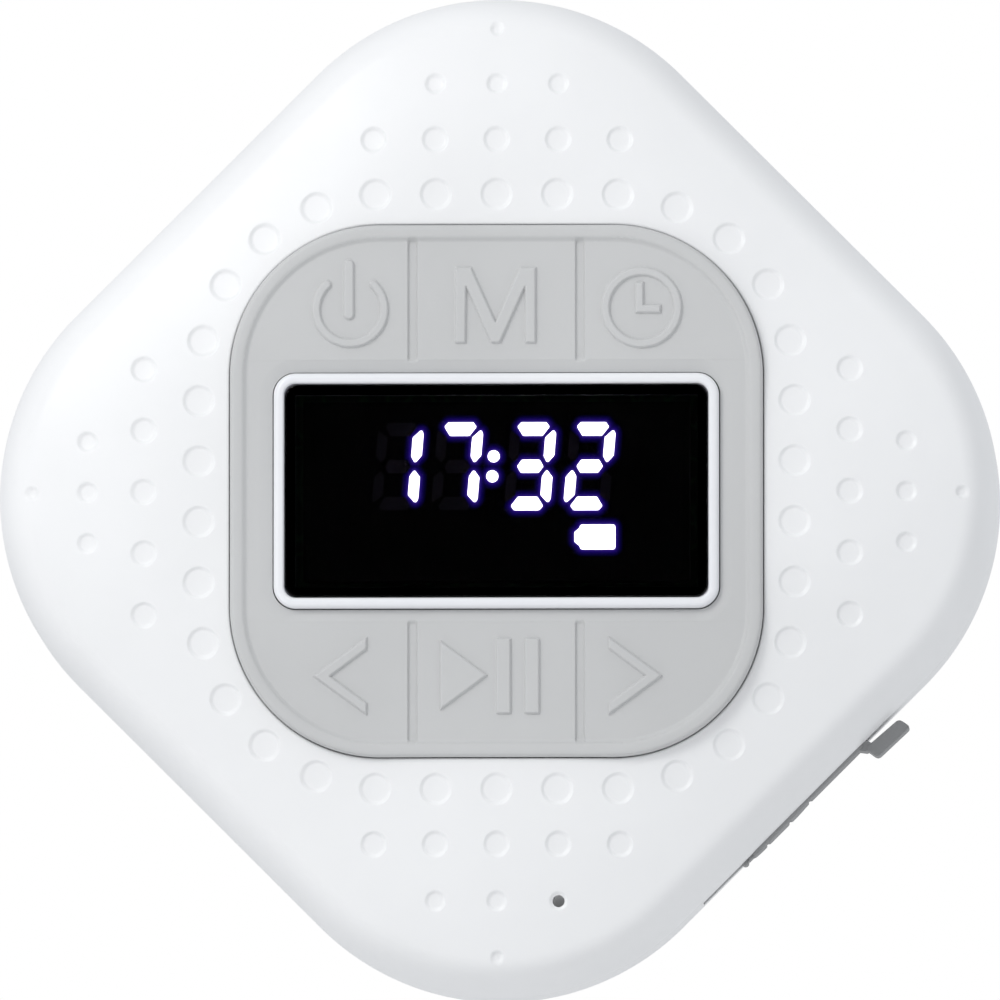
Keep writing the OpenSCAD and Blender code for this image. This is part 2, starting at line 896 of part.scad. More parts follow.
module port_flap() {
    low = flap_centre - flap_length / 2;
    high = flap_centre + flap_length / 2;
    color([0.62, 0.62, 0.62])
        upright()
            side_axes()
                difference() {
                    union() {
                        translate([flap_inner, flap_centre, flap_z])
                            rotate([90, 0, 90])
                                linear_extrude(flap_thick)
                                    rounded_rect(flap_length, flap_width, 2.4);
                        translate([port_face + 0.2, flap_centre, flap_z])
                            rotate([90, 0, 90])
                                linear_extrude(flap_inner - port_face)
                                    rounded_rect(flap_length - 1.8, 6.2, 2);
                        block([half - 0.4, hinge_v + 0.4, flap_z - 2.5], [flap_outer, low + 0.5, flap_z + 2.5]);
                        translate([0, 0, flap_z - 3])
                            linear_extrude(6)
                                polygon([[flap_outer - 0.3, high - 2], [half + 1.1, high - 0.6],
                                    [half + 2.9, high - 0.3], [half + 3, high],
                                    [half + 3.1, high + tab_reach - 0.9], [half + 2.6, high + tab_reach],
                                    [half + 1.1, high + tab_reach - 0.4], [half + 0.7, high + 0.8],
                                    [flap_outer - 0.3, high - 0.4]]);
                    }
                    translate([hinge_u, hinge_v, flap_z - 4])
                        cylinder(r = 0.56, h = 8);
                }
}

// Rubber strip in the side, with the round bead that the flap bends about.
module flap_tether() {
    color([0.62, 0.62, 0.62])
        upright()
            side_axes() {
                block([half - 0.8, -19.6, flap_z - 2.5], [half - 0.05, hinge_v, flap_z + 2.5]);
                translate([hinge_u, hinge_v, flap_z - 2.5])
                    cylinder(r = 0.5, h = 5);
                translate([56.6, -17, flap_z])
                    rotate([0, 90, 0])
                        cylinder(r = 1.2, h = 3.3);
            }
}

// ---------------------------------------------------------------- microphone and battery

module microphone_capsule() {
    color([0.7, 0.7, 0.72])
        upright()
            translate([mic_at[0], mic_at[1], 0])
                disc(3, 43.8, 46.8);
}

module microphone_boot() {
    color([0.2, 0.2, 0.2])
        upright()
            translate([mic_at[0], mic_at[1], 0])
                difference() {
                    disc(4.15, 43.6, 48);
                    disc(3.02, 43, 46.8);
                    disc(1, 46, 50);
                }
}

module battery_cell() {
    color([0.25, 0.45, 0.7])
        upright()
            side_axes()
                translate([cell_u, 0, cell_z])
                    rotate([90, 0, 0]) {
                        cylinder(r = cell_r, h = cell_length - 1, center = true);
                        cylinder(r = 3.2, h = cell_length + 1, center = true);
                    }
}

module battery_cradle() {
    color([0.85, 0.85, 0.84])
        upright()
            side_axes()
                difference() {
                    for (y = [-18, 13]) {
                        block([-46.5, y, floor_z + 0.2], [-31.8, y + 5, 22]);
                        block([-52.2, y, floor_z + 1.5], [-46, y + 5, 22]);
                    }
                    translate([cell_u, 0, cell_z])
                        rotate([90, 0, 0])
                            cylinder(r = cell_r + 0.05, h = 60, center = true);
                }
}

module battery_leads() {
    color([0.7, 0.1, 0.1])
        upright()
            side_axes() {
                wire([[cell_u, 25.6, cell_z], [cell_u, 27, cell_z + 4], [-34, 27, 37], [-27, 0, 37.4],
                    [-27, -11, 37], [-27, -11, 36]], 0.6);
                wire([[cell_u, -25.6, cell_z], [cell_u, -27, cell_z + 5], [-34, -27, 37], [-25, -20, 37],
                    [-25, -14, 37], [-25, -14, 36]], 0.6);
            }
}

// ---------------------------------------------------------------- loudspeaker

module speaker_gasket() {
    color([0.15, 0.15, 0.15])
        upright()
            difference() {
                ring(29.5, 23.6, driver_z - 0.7, driver_z);
                for (turn = [45:90:315])
                    rotate(turn)
                        boss([26.5, 0, 10], 1.1, 0, 20);
            }
}

module speaker_basket() {
    color([0.2, 0.2, 0.21])
        upright()
            difference() {
                rotate_extrude($fn = 96)
                    polygon([[20.8, driver_z], [29.5, driver_z], [29.5, driver_z + 1.2], [22.6, driver_z + 1.2],
                        [14.4, 29.8], [9, 29.8], [9, 28.8], [13.8, 28.8], [20.8, driver_z + 2]]);
                for (turn = [0:60:300])
                    rotate(turn)
                        block([15.2, -3.4, driver_z + 2.4], [26, 3.4, 28.2]);
                for (turn = [45:90:315])
                    rotate(turn)
                        boss([26.5, 0, 10], 1.1, 0, 20);
            }
}

module speaker_screws() {
    top = driver_z + 1.2;
    color([0.6, 0.6, 0.62])
        upright()
            for (turn = [45:90:315])
                rotate(turn)
                    translate([26.5, 0, 0]) {
                        disc(1.9, top, top + 1.2);
                        disc(0.95, top - 4.8, top);
                    }
}

module speaker_magnet() {
    color([0.3, 0.3, 0.31])
        upright()
            ring(14, 9.2, 32.4, 36.8);
}

module magnet_top_plate() {
    color([0.6, 0.6, 0.62])
        upright()
            ring(14, 8.5, 29.8, 32.4);
}

module magnet_yoke() {
    color([0.6, 0.6, 0.62])
        upright() {
            disc(13.6, 36.8, 38.8);
            disc(7, 29.6, 37);
        }
}

module cone_spider() {
    color([0.75, 0.65, 0.4])
        upright()
            rotate_extrude($fn = 96)
                polygon([[8.3, 27.2], [10.2, 27.5], [11.6, 27.2], [12.9, 28.2], [13.4, 28.8], [12.7, 28.8],
                    [11.4, 27.7], [10.2, 28], [8.3, 27.7]]);
}

module cone_surround() {
    color([0.12, 0.12, 0.12])
        upright()
            rotate_extrude($fn = 96)
                polygon([[17.2, 20.2], [17.8, 19.2], [19, 18.4], [20.2, 19.2], [20.7, 20.2], [20.7, 20.8],
                    [20.2, 20.2], [19, 19.2], [17.9, 20.2], [17.2, 20.8]]);
}

// Paper cone with its dust cap, open towards the grille.
module speaker_cone() {
    color([0.16, 0.16, 0.17])
        upright()
            rotate_extrude($fn = 96)
                polygon([[0, 21.6], [4, 22], [7, 23.2], [8.6, 24.6], [17.1, 20.2], [17.1, 20.9],
                    [8.2, 25.6], [7.6, 25.6], [6.6, 23.9], [3.8, 22.7], [0, 22.3]]);
}

module voice_coil() {
    color([0.75, 0.45, 0.25])
        upright()
            ring(8.1, 7.4, 25.6, 33);
}

module speaker_leads() {
    color([0.1, 0.1, 0.1])
        upright()
            side_axes()
                for (shift = [0, 3])
                    wire([[16 + shift, 36, 36], [16 + shift, 36, 38], [19 + shift, 46, 35],
                        [19 + shift, 46, 24], [12 + shift, 25.5, 21.2]], 0.5);
}

front_shell();
rear_housing();
shell_gasket();
speaker_grille();
grille_mesh();
suction_cup();
shell_screws();
screw_plugs();
port_flap();
flap_tether();
keypad_frame();
key_power();
key_mode();
key_clock();
key_previous();
key_play();
key_next();
pill_power();
pill_mode();
pill_clock();
pill_previous();
pill_play();
pill_next();
display_bezel();
display_lens();
display_module();
lit_segments();
unlit_segments();
battery_indicator();
display_pins();
keypad_board();
contact_pads();
keypad_board_screws();
main_board();
main_board_screws();
bluetooth_module();
amplifier_chip();
charger_chip();
board_capacitors();
board_sockets();
ribbon_cable();
usb_shell();
usb_tongue();
aux_jack();
microphone_capsule();
microphone_boot();
battery_cell();
battery_cradle();
battery_leads();
speaker_leads();
speaker_gasket();
speaker_basket();
speaker_screws();
speaker_magnet();
magnet_top_plate();
magnet_yoke();
cone_spider();
cone_surround();
speaker_cone();
voice_coil();
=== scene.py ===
"""Looks of the shower speaker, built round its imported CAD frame.

Shapes are worked out in local millimetres, x to the right, y up and z out of the wall,
and turned into the frame's metres when a mesh is made.
"""

import json
import math

import bmesh
import bpy
import numpy as np
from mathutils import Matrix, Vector


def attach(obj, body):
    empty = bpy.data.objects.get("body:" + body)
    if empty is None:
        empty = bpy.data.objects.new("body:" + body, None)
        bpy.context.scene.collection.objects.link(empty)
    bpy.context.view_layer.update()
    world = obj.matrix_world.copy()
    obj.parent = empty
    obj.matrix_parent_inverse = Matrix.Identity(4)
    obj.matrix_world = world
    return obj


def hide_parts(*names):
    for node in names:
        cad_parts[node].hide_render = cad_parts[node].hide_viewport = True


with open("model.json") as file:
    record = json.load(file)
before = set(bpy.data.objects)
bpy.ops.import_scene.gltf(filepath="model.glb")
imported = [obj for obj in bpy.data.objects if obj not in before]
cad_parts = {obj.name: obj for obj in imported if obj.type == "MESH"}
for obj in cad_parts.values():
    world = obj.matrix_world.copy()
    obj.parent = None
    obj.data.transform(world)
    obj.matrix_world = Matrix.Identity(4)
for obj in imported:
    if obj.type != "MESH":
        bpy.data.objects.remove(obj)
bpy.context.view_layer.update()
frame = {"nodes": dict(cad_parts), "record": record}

MM = 0.001
ROOT2 = math.sqrt(2)

# Housing. A section is a list of (distance in from the side, z).
HALF = 60
TIP_RADIUS = 36
WALL = 2.2
BACK_Z = 12
SEAM_Z = 33
SEAM_BEVEL = 0.25
RIM_Z = 35
RIM_IN = 5
RIM_UP = 12
RIM_POWER = 2.4
RIM_SHARE = 0.92
DOME_IN = 30
DOME_UP = 5
FRONT_SIDE = ((SEAM_BEVEL, SEAM_Z), (0, SEAM_Z + SEAM_BEVEL), (0, SEAM_Z + 1))
FRONT_INSIDE = ((8, 46.2), (WALL + 1.2, 42), (WALL, 38), (WALL, SEAM_Z))
BACK_IN = 15
BACK_UP = 10
BACK_POWER = 2.2
BACK_SIDE = ((SEAM_BEVEL, SEAM_Z), (0, SEAM_Z - SEAM_BEVEL), (0, SEAM_Z - 3), (0, BACK_Z + BACK_UP))
BACK_INSIDE = ((BACK_IN + 1, BACK_Z + WALL), (6, BACK_Z + 4.2), (WALL, BACK_Z + BACK_UP), (WALL, SEAM_Z))
GRILLE_R = 22
GRILLE_LIP = 0.4
SCREW_AT = 51
SCREW_HOLE_R = 3.05

# Dimples. A row of a tip's triangle is (distance from the middle, count, diameter).
RING_COUNT = 34
RING_HALF = 41.6
RING_RADIUS = 26
RING_DIMPLE = 4.7
TIP_ROWS = ((49.3, 5, 3.9), (57.2, 3, 3.1), (65, 1, 2.1))
TIP_APART = 8.6
SIDE_TIP_APART = 7.1
DIMPLE_DEPTH = 0.42
DIMPLE_EDGE = 0.62
DIMPLE_LIP = 0.08
DIMPLE_BOWL = 0.2
MIC_AT = (8.6, -57.2)
MIC_HOLE = 1.7
MIC_DIP = 0.35
MIC_DIP_EDGE = 0.5

# Keypad. A slope is how far below and above an edge it starts and ends.
PAD_HALF = 37.2
PAD_RADIUS = 21
PAD_RIM = 1.9
PAD_RIM_SLOPE = (-0.55, 0.3)
PAD_RIM_CROWN = 0.1
PAD_EDGE_R = 0.6
PAD_GAP = 0.12
PAD_LIP = 0.3
PAD_SHELF = 2.9
SHELF_Z = 50
SHELF_LOW_Z = 46.8
PAD_LOW_Z = 50.05
PAD_TOP_Z = 53.1
KEY_FACE_Z = 52.5
BAND_DIP = 0.6
BAND_DIP_LOST = 0.7
BAND_DIP_FADE = (27, 33)
BAND_REACH = 1.9
ROW_Y = 18.3
ROW_SLOPE = (-0.3, 0.3)
DIVIDER_Z = 52.05
DIVIDER_X = 11.0
DIVIDER_W = 1.4
DIVIDER_SLOPE = (-0.2, 0.05)
KEY_GAP = 0.006
KEY_LOW_Z = 51.7
SIGN_UP = 0.55
SIGN_FOOT = 0.1
SIGN_ROUND = 0.36
SIGN_POWER = 2.2
STROKE = 1.1

# Display. A place is a digit's middle and its lit bars.
BEZEL_W = 62.2
BEZEL_H = 32.9
BEZEL_RADIUS = 3.1
BEZEL_RING = 1.5
BEZEL_LEDGE = 3
BEZEL_GAP = 0.15
BEZEL_TOP_Z = 53.6
LENS_Z = 51.2
LENS_THICK = 1.7
LENS_GAP = 0.03
LENS_RADIUS = 1.95
MODULE_Z = 50.8
MODULE_HALF = (27, 12.5)
MODULE_SKIN = 0.6
GLOW_REACH = 0.42
DIGIT_H = 12.2
DIGIT_W = 6.4
LEVEL_BAR_W = 1.85
SIDE_BAR_W = 1.45
BAR_CORNER = 0.26
BAR_INSET = 0.02
DIGIT_SLANT = math.tan(math.radians(4.8))
DIGITS_Y = 3.5
PLACES = ((-13.8, (2, 5)), (-5.5, (0, 2, 5)), (4.7, (0, 2, 3, 5, 6)), (13, (0, 2, 3, 4, 6)))
COLON = ((-0.4, 1.4), (-0.6, -1.4))
COLON_R = 0.85
BATTERY_AT = (14.1, -6.4)
LIT_BOX = ((-17, 18), (-9, 11))

# Flap, in the side's axes: u out through the side, v up along it
FLAP_LENGTH = 22.8
FLAP_WIDTH = 7.8
FLAP_RADIUS = 2.4
FLAP_EDGE_R = 0.6
FLAP_V = 0.9
FLAP_Z = 27.5
FLAP_LOW = FLAP_V - FLAP_LENGTH / 2
FLAP_HIGH = FLAP_V + FLAP_LENGTH / 2
FLAP_OUTER = HALF + 0.4
FLAP_INNER = FLAP_OUTER - 2.3
FLAP_SWELLING = 0.12
FLAP_GROOVE_DEEP = 0.3
FLAP_GROOVE_REACH = 0.3
FLAP_GROOVES_V = (-7.5, -3.1, 0.9)
TAB_LENGTH = 5.9
NECK_HALF_W = 2.9
BLADE_HALF_W = 3
SEAL_LENGTH = FLAP_LENGTH - 1.8
SEAL_W = 6.2
HINGE_U = HALF + 0.05
HINGE_V = -11.6
HINGE_CUP_R = 0.57
HINGE_HALF_W = 2.5
STRIP_LOW = -19.8
STRIP_HALF_W = 2.7
PORT_FACE = 57.1
PORT_FROM = 50
PORT_TO = 58
AUX_V = 6
AUX_Z = 27.3
AUX_R = 3.1
USB_V = -4.6
USB_Z = 28.4
USB_HALF_W = 4.05
USB_HALF_H = 1.7

# Size of a relief's cells, and the share of a cell within which a point moves onto the outline
PAD_STEP = 0.16
KEY_STEP = 0.085
FACE_STEP = 0.16
BAR_STEP = 0.1
FLAP_STEP = 0.15
HALF_DIAGONAL = 0.71

# Studio, in metres and watts
FRAME_WIDTH = 0.1401
CAMERA_AWAY = 5.0
CAMERA_AZIMUTH = 1.5
CAMERA_ELEVATION = -3.8
SENSOR = 36
TARGET = Vector((0, -0.033, 0))
LIT_POINT = (0, -0.04, 0)
WORLD_LIGHT = 0.785
KEY_LIGHT = 2.4
FILL_LIGHT = 2.0
WARM_WHITE = (1.0, 0.99, 0.98)
FLOOR_REACH = 3
FLOOR_FRONT = -0.84
FLOOR_Z = -0.115


# ---- points and meshes

def to_frame(points):
    """Local millimetres to the frame's metres."""
    p = np.asarray(points, float)
    return np.stack([p[..., 0], -p[..., 2], p[..., 1]], -1) * MM


def from_side(points):
    """Points given as (out through the lower right side, up along it, z) to local ones."""
    p = np.asarray(points, float)
    u, v = p[..., 0], p[..., 1]
    return np.stack([(u + v) / ROOT2, (v - u) / ROOT2, *np.moveaxis(p[..., 2:], -1, 0)], -1)


def make_mesh(name, points, faces, smooth_angle=40):
    """A mesh object from local points and faces, with its normals outward."""
    mesh = bpy.data.meshes.new(name)
    mesh.from_pydata(to_frame(points).tolist(), [], faces)
    mesh.update()
    obj = bpy.data.objects.new(name, mesh)
    bpy.context.collection.objects.link(obj)
    if signed_volume(mesh) < 0:
        mesh.flip_normals()
    shade(mesh, smooth_angle)
    return obj


def shade(mesh, smooth_angle):
    """Smooth shading, with edges sharper than an angle left sharp."""
    for polygon in mesh.polygons:
        polygon.use_smooth = True
    mesh.set_sharp_from_angle(angle=math.radians(smooth_angle))


def signed_volume(mesh):
    """Volume inside a mesh, below zero when its faces are inside out."""
    mesh.calc_loop_triangles()
    corners = np.empty(len(mesh.vertices) * 3)
    mesh.vertices.foreach_get("co", corners)
    corners = corners.reshape(-1, 3)
    triangles = np.empty(len(mesh.loop_triangles) * 3, int)
    mesh.loop_triangles.foreach_get("vertices", triangles)
    a, b, c = corners[triangles.reshape(-1, 3)].transpose(1, 0, 2)
    return np.einsum("ij,ij->", a, np.cross(b, c)) / 6


def tube_faces(rows, columns, close_rows):
    """Quads of rows that each run right round, joined into a ring of rows or left open."""
    number = np.arange(rows * columns).reshape(rows, columns)
    upper = np.roll(number, -1, 0) if close_rows else number[1:]
    lower = number if close_rows else number[:-1]
    quads = np.stack([lower, np.roll(lower, -1, 1), np.roll(upper, -1, 1), upper], -1)
    return quads.reshape(-1, 4).tolist()


def ring_solid(name, rows, smooth_angle=40):
    """A closed ring whose section is the given rows, each a loop of points."""
    rows = np.asarray(rows)
    return make_mesh(name, rows.reshape(-1, 3), tube_faces(len(rows), rows.shape[1], True), smooth_angle)


def capped_points(rows):
    """Points and faces of a solid whose rows run from one flat end to the other."""
    rows = np.asarray(rows)
    count, columns = rows.shape[:2]
    faces = tube_faces(count, columns, False)
    faces.append(list(range(columns))[::-1])
    faces.append(list(range((count - 1) * columns, count * columns)))
    return rows.reshape(-1, 3), faces


def capped_solid(name, rows, smooth_angle=40):
    """A solid whose rows run from one flat end to the other."""
    return flat_faces_first(make_mesh(name, *capped_points(rows), smooth_angle))


def flat_faces_first(obj):
    """Shades big flat faces flat, and leaves the bending to the small faces beside them."""
    normals = obj.modifiers.new("normals", "WEIGHTED_NORMAL")
    normals.keep_sharp = True
    return obj


def join(name, parts):
    """One object from several lists of points and faces."""
    points, faces, count = [], [], 0
    for part_points, part_faces in parts:
        points.append(np.asarray(part_points))
        faces += [[n + count for n in face] for face in part_faces]
        count += len(part_points)
    obj = make_mesh(name, np.concatenate(points), faces)
    shape = bmesh.new()
    shape.from_mesh(obj.data)
    bmesh.ops.recalc_face_normals(shape, faces=shape.faces)
    shape.to_mesh(obj.data)
    shape.free()
    return flat_faces_first(obj)


# ---- outlines

def rounded_outline(w, h, r, arc=24, run=24):
    """Points and outward normals round a rounded rectangle, anticlockwise."""
    points, normals = [], []
    for quarter in range(4):
        turn = quarter * math.pi / 2
        sign_x = 1 if quarter in (0, 3) else -1
        sign_y = 1 if quarter < 2 else -1
        angle = turn + np.linspace(0, math.pi / 2, arc, endpoint=False)
        way = np.stack([np.cos(angle), np.sin(angle)], -1)
        centre = np.array([sign_x * (w / 2 - r), sign_y * (h / 2 - r)])
        points.append(centre + r * way)
        normals.append(way)
        side = np.array([math.cos(turn + math.pi / 2), math.sin(turn + math.pi / 2)])
        along = np.array([-side[1], side[0]])
        length = (w if quarter % 2 == 0 else h) - 2 * r
        steps = np.linspace(0, length, run, endpoint=False)[:, None]
        points.append(centre + r * side + along * steps)
        normals.append(np.repeat(side[None], run, 0))
    return np.concatenate(points), np.concatenate(normals)


def ray_to_rounded_square(angle, half, r):
    """Distance from the centre to a rounded square, at each angle."""
    c, s = np.abs(np.cos(angle)), np.abs(np.sin(angle))
    a = half - r
    straight = half / np.maximum(c, s)
    on_corner = straight * np.minimum(c, s) > a
    b = a * (c + s)
    corner = b + np.sqrt(np.maximum(b * b - (2 * a * a - r * r), 0))
    return np.where(on_corner, corner, straight)


def with_z(points, z):
    """Flat points at a height."""
    return np.concatenate([points, np.broadcast_to(np.reshape(z, (-1, 1)), (len(points), 1))], -1)


def section_rows(flat, out, section):
    """A row of points round an outline for each (distance in, z) of a section."""
    return [with_z(flat - out * d, z) for d, z in section]


def rounded_rows(points, normals, low, high, r_low, r_high, steps=5):
    """Rows up the side of a prism with rounded lower and upper edges."""
    turns = np.linspace(0, math.pi / 2, steps + 1)
    section = [(r_low * (1 - math.sin(t)), low + r_low * (1 - math.cos(t))) for t in turns]
    section += [(r_high * (1 - math.cos(t)), high - r_high * (1 - math.sin(t))) for t in turns]
    return section_rows(points, normals, section)


# ---- distances to flat shapes

def box_distance(x, y, w, h, r=0.0):
    """Distance to a rounded rectangle about the origin, below zero inside it."""
    qx, qy = np.abs(x) - w / 2 + r, np.abs(y) - h / 2 + r
    return np.hypot(np.maximum(qx, 0), np.maximum(qy, 0)) + np.minimum(np.maximum(qx, qy), 0) - r


def stroke_distance(x, y, start, end, w, round_end=False):
    """Distance to a stroke between two points, with square or round ends."""
    start, end = np.array(start, float), np.array(end, float)
    length = np.linalg.norm(end - start)
    way = (end - start) / length
    along = (x - start[0]) * way[0] + (y - start[1]) * way[1]
    across = -(x - start[0]) * way[1] + (y - start[1]) * way[0]
    if round_end:
        return np.hypot(along - np.clip(along, 0, length), across) - w / 2
    return box_distance(along - length / 2, across, length + w, w)


def polygon_distance(x, y, corners, r=0.0):
    """Distance to a polygon, whose corners are rounded outward by r."""
    least = np.full(np.shape(x), 1e9)
    sign = np.ones(np.shape(x))
    for (ax, ay), (bx, by) in zip(corners, corners[1:] + corners[:1]):
        ex, ey = bx - ax, by - ay
        wx, wy = x - ax, y - ay
        along = np.clip((wx * ex + wy * ey) / (ex * ex + ey * ey), 0, 1)
        least = np.minimum(least, np.hypot(wx - ex * along, wy - ey * along))
        above, below, side = y >= ay, y < by, ex * wy > ey * wx
        crossed = (above & below & side) | (~above & ~below & ~side)
        sign = np.where(crossed, -sign, sign)
    return sign * least - r


def loop_distance(x, y, r, w, gap=0.0):
    """Distance to a circular line of outer radius r, open by an angle each side of its top."""
    middle = r - w / 2
    ring = np.abs(np.hypot(x, y) - middle)
    end = np.hypot(np.abs(x) - middle * math.sin(gap), y - middle * math.cos(gap))
    return np.where(np.abs(np.arctan2(x, y)) < gap, end, ring) - w / 2


def edge_drop(distance, r):
    """How far a rounded edge of radius r has dropped at a distance, which is below zero inside."""
    inside = np.clip(r + distance, 0, r)
    return r - np.sqrt(r * r - inside * inside)


def smooth_step(value, low, high):
    """0 below low, 1 above high and a smooth rise between them."""
    t = np.clip((value - low) / (high - low), 0, 1)
    return t * t * (3 - 2 * t)


def onto_outline(x, y, distance, near, step):
    """Moves the near points of a grid onto the line where distance(x, y) is 0."""
    e = 0.01 * step
    for _ in range(3):
        here = distance(x, y)
        gx = (distance(x + e, y) - distance(x - e, y)) / (2 * e)
        gy = (distance(x, y + e) - distance(x, y - e)) / (2 * e)
        size = np.maximum(gx * gx + gy * gy, 0.2)
        x = np.where(near, x - here * gx / size, x)
        y = np.where(near, y - here * gy / size, y)
    return x, y


def cell_faces(kept):
    """Quads of a grid's cells whose four corners are kept, and triangles of those that keep three."""
    def corners(grid):
        return [grid[:-1, :-1], grid[:-1, 1:], grid[1:, 1:], grid[1:, :-1]]

    cells = corners(np.arange(kept.size).reshape(kept.shape))
    on = corners(kept)
    count = sum(flag.astype(int) for flag in on)
    quads = np.stack([c[count == 4] for c in cells], -1)
    triangles = []
    for missing in range(4):
        chosen = (count == 3) & ~on[missing]
        triangles.append(np.stack([c[chosen] for n, c in enumerate(cells) if n != missing], -1))
    return quads, np.concatenate(triangles)


def border_edges(faces, size):
    """Edges (start, end) that only one face has; faces are arrays of points' numbers below size."""
    edges = np.concatenate([np.stack([f[:, n], f[:, (n + 1) % f.shape[1]]], -1)
                            for f in faces for n in range(f.shape[1])])
    forward = edges[:, 0] * size + edges[:, 1]
    backward = edges[:, 1] * size + edges[:, 0]
    return edges[~np.isin(forward, backward)].tolist()


def relief_points(distance, height, box, step, base):
    """Points, faces and number of walls of a solid with upright sides.

    Its outline is where distance(x, y) is 0, its top is height(x, y) and its walls are the last faces.
    """
    (x0, x1), (y0, y1) = box
    columns = int(round((x1 - x0) / step)) + 1
    rows = int(round((y1 - y0) / step)) + 1
    x, y = np.meshgrid(np.linspace(x0, x1, columns), np.linspace(y0, y1, rows))
    d = distance(x, y)
    reach = HALF_DIAGONAL * step
    x, y = onto_outline(x, y, distance, np.abs(d) < reach, step)
    faces = cell_faces(d < reach)
    used = np.unique(np.concatenate([f.ravel() for f in faces]))
    renumber = np.full(x.size, -1)
    renumber[used] = np.arange(len(used))
    faces = [renumber[f] for f in faces]
    top = np.stack([x.ravel(), y.ravel(), height(x, y).ravel()], -1)[used]
    low = top.copy()
    low[:, 2] = base
    count = len(used)
    upper = faces[0].tolist() + faces[1].tolist()
    lower = [[n + count for n in face[::-1]] for face in upper]
    walls = [[b, a, a + count, b + count] for a, b in border_edges(faces, count)]
    return np.concatenate([top, low]), upper + lower + walls, len(walls)


def relief(name, *shape):
    """A mesh of the solid that relief_points makes, with a sharp edge between its top and its walls."""
    points, faces, walls = relief_points(*shape)
    obj = make_mesh(name, points, faces, 50)
    mesh = obj.data
    first_loop = np.empty(len(mesh.polygons), int)
    mesh.polygons.foreach_get("loop_start", first_loop)
    edge_of_loop = np.empty(len(mesh.loops), int)
    mesh.loops.foreach_get("edge_index", edge_of_loop)
    for edge in edge_of_loop[first_loop[-walls:]]:
        mesh.edges[int(edge)].use_edge_sharp = True
    return obj


# ---- housing

def rounded_rise(t, power):
    """Rise from 0 to 1 over a rounded edge as t goes from 1, at the side, to 0."""
    return (1 - t ** power) ** (1 / power)


def front_z(d):
    """Height of the front, a tight edge and a gentle dome, at a distance in from the side."""
    rim = RIM_UP * rounded_rise(1 - np.clip(d / RIM_IN, 0, 1), RIM_POWER)
    t = 1 - np.clip(d / DOME_IN, 0, 1)
    return RIM_Z + rim + DOME_UP * (1 - t * t)


def back_z(d):
    """Height of the outside of the back at a distance in from the side."""
    return BACK_Z + BACK_UP * (1 - rounded_rise(1 - np.clip(d / BACK_IN, 0, 1), BACK_POWER))


def inset(p):
    """Distance of face points in from the housing's side."""
    u, v = (p[:, 0] - p[:, 1]) / ROOT2, (p[:, 0] + p[:, 1]) / ROOT2
    return -box_distance(u, v, 2 * HALF, 2 * HALF, TIP_RADIUS)


def skin(p):
    """Face points with their height, and their normals."""
    e = 0.02
    z = front_z(inset(p))
    gx = (front_z(inset(p + [e, 0])) - front_z(inset(p - [e, 0]))) / (2 * e)
    gy = (front_z(inset(p + [0, e])) - front_z(inset(p - [0, e]))) / (2 * e)
    normal = np.stack([-gx, -gy, np.ones_like(gx)], -1)
    return with_z(p, z), normal / np.linalg.norm(normal, axis=1, keepdims=True)


def turned(p, quarters):
    """A point turned clockwise by quarter turns."""
    for _ in range(quarters):
        p = (p[1], -p[0])
    return p


def ring_dimples():
    """Dimples spaced evenly along a rounded square, from the middle of its top edge clockwise."""
    run = RING_HALF - RING_RADIUS
    quarter = 2 * run + RING_RADIUS * math.pi / 2
    for n in range(RING_COUNT):
        along = n * 4 * quarter / RING_COUNT
        q, s = int(along // quarter), along % quarter
        turn = (s - run) / RING_RADIUS
        if s < run:
            p = (s, RING_HALF)
        elif s < quarter - run:
            p = (run + RING_RADIUS * math.sin(turn), run + RING_RADIUS * math.cos(turn))
        else:
            p = (RING_HALF, quarter - s)
        yield (*turned(p, q), RING_DIMPLE)


def tip_dimples():
    """The triangle of dimples on each tip."""
    for q in range(4):
        for away, count, d in TIP_ROWS:
            apart = SIDE_TIP_APART if count == 3 and q % 2 else TIP_APART
            for n in range(count):
                yield (*turned(((n - (count - 1) / 2) * apart, away), q), d)


def dimples():
    """Every dimple of the face as (x, y, diameter); the microphone hole takes the place of one."""
    return [f for f in (*ring_dimples(), *tip_dimples()) if math.dist(f[:2], MIC_AT) > 1]


def pressed(points, normals):
    """Face points with the dimples and the microphone hole's mouth pressed in."""
    depth = np.zeros(len(points))
    for x, y, d in dimples():
        r = np.hypot(points[:, 0] - x, points[:, 1] - y)
        bowl = DIMPLE_BOWL * np.clip(r / d * 2, 0, 1) ** 2
        dish = 1 - smooth_step(r, d / 2 - DIMPLE_EDGE, d / 2 + DIMPLE_LIP) - bowl
        depth = np.maximum(depth, DIMPLE_DEPTH * dish)
    r = np.hypot(points[:, 0] - MIC_AT[0], points[:, 1] - MIC_AT[1])
    mouth = 1 - smooth_step(r, MIC_HOLE / 2, MIC_HOLE / 2 + MIC_DIP_EDGE)
    depth = np.maximum(depth, MIC_DIP * mouth)
    return points - normals * depth[:, None]


def housing_outline(arc, run):
    """The housing's outline, standing on a tip, and its outward normals."""
    flat, out = rounded_outline(2 * HALF, 2 * HALF, TIP_RADIUS, arc, run)
    return from_side(flat), from_side(out)


def quarter_steps(reach, count):
    """Distances that round a quarter circle of the given reach, close together at its start."""
    return reach * (1 - np.cos(np.linspace(0, math.pi / 2, count)))


def ways_to(points):
    """Directions from the middle to flat points, and their angles."""
    angle = np.arctan2(points[:, 1], points[:, 0])
    return np.stack([np.cos(angle), np.sin(angle)], -1), angle


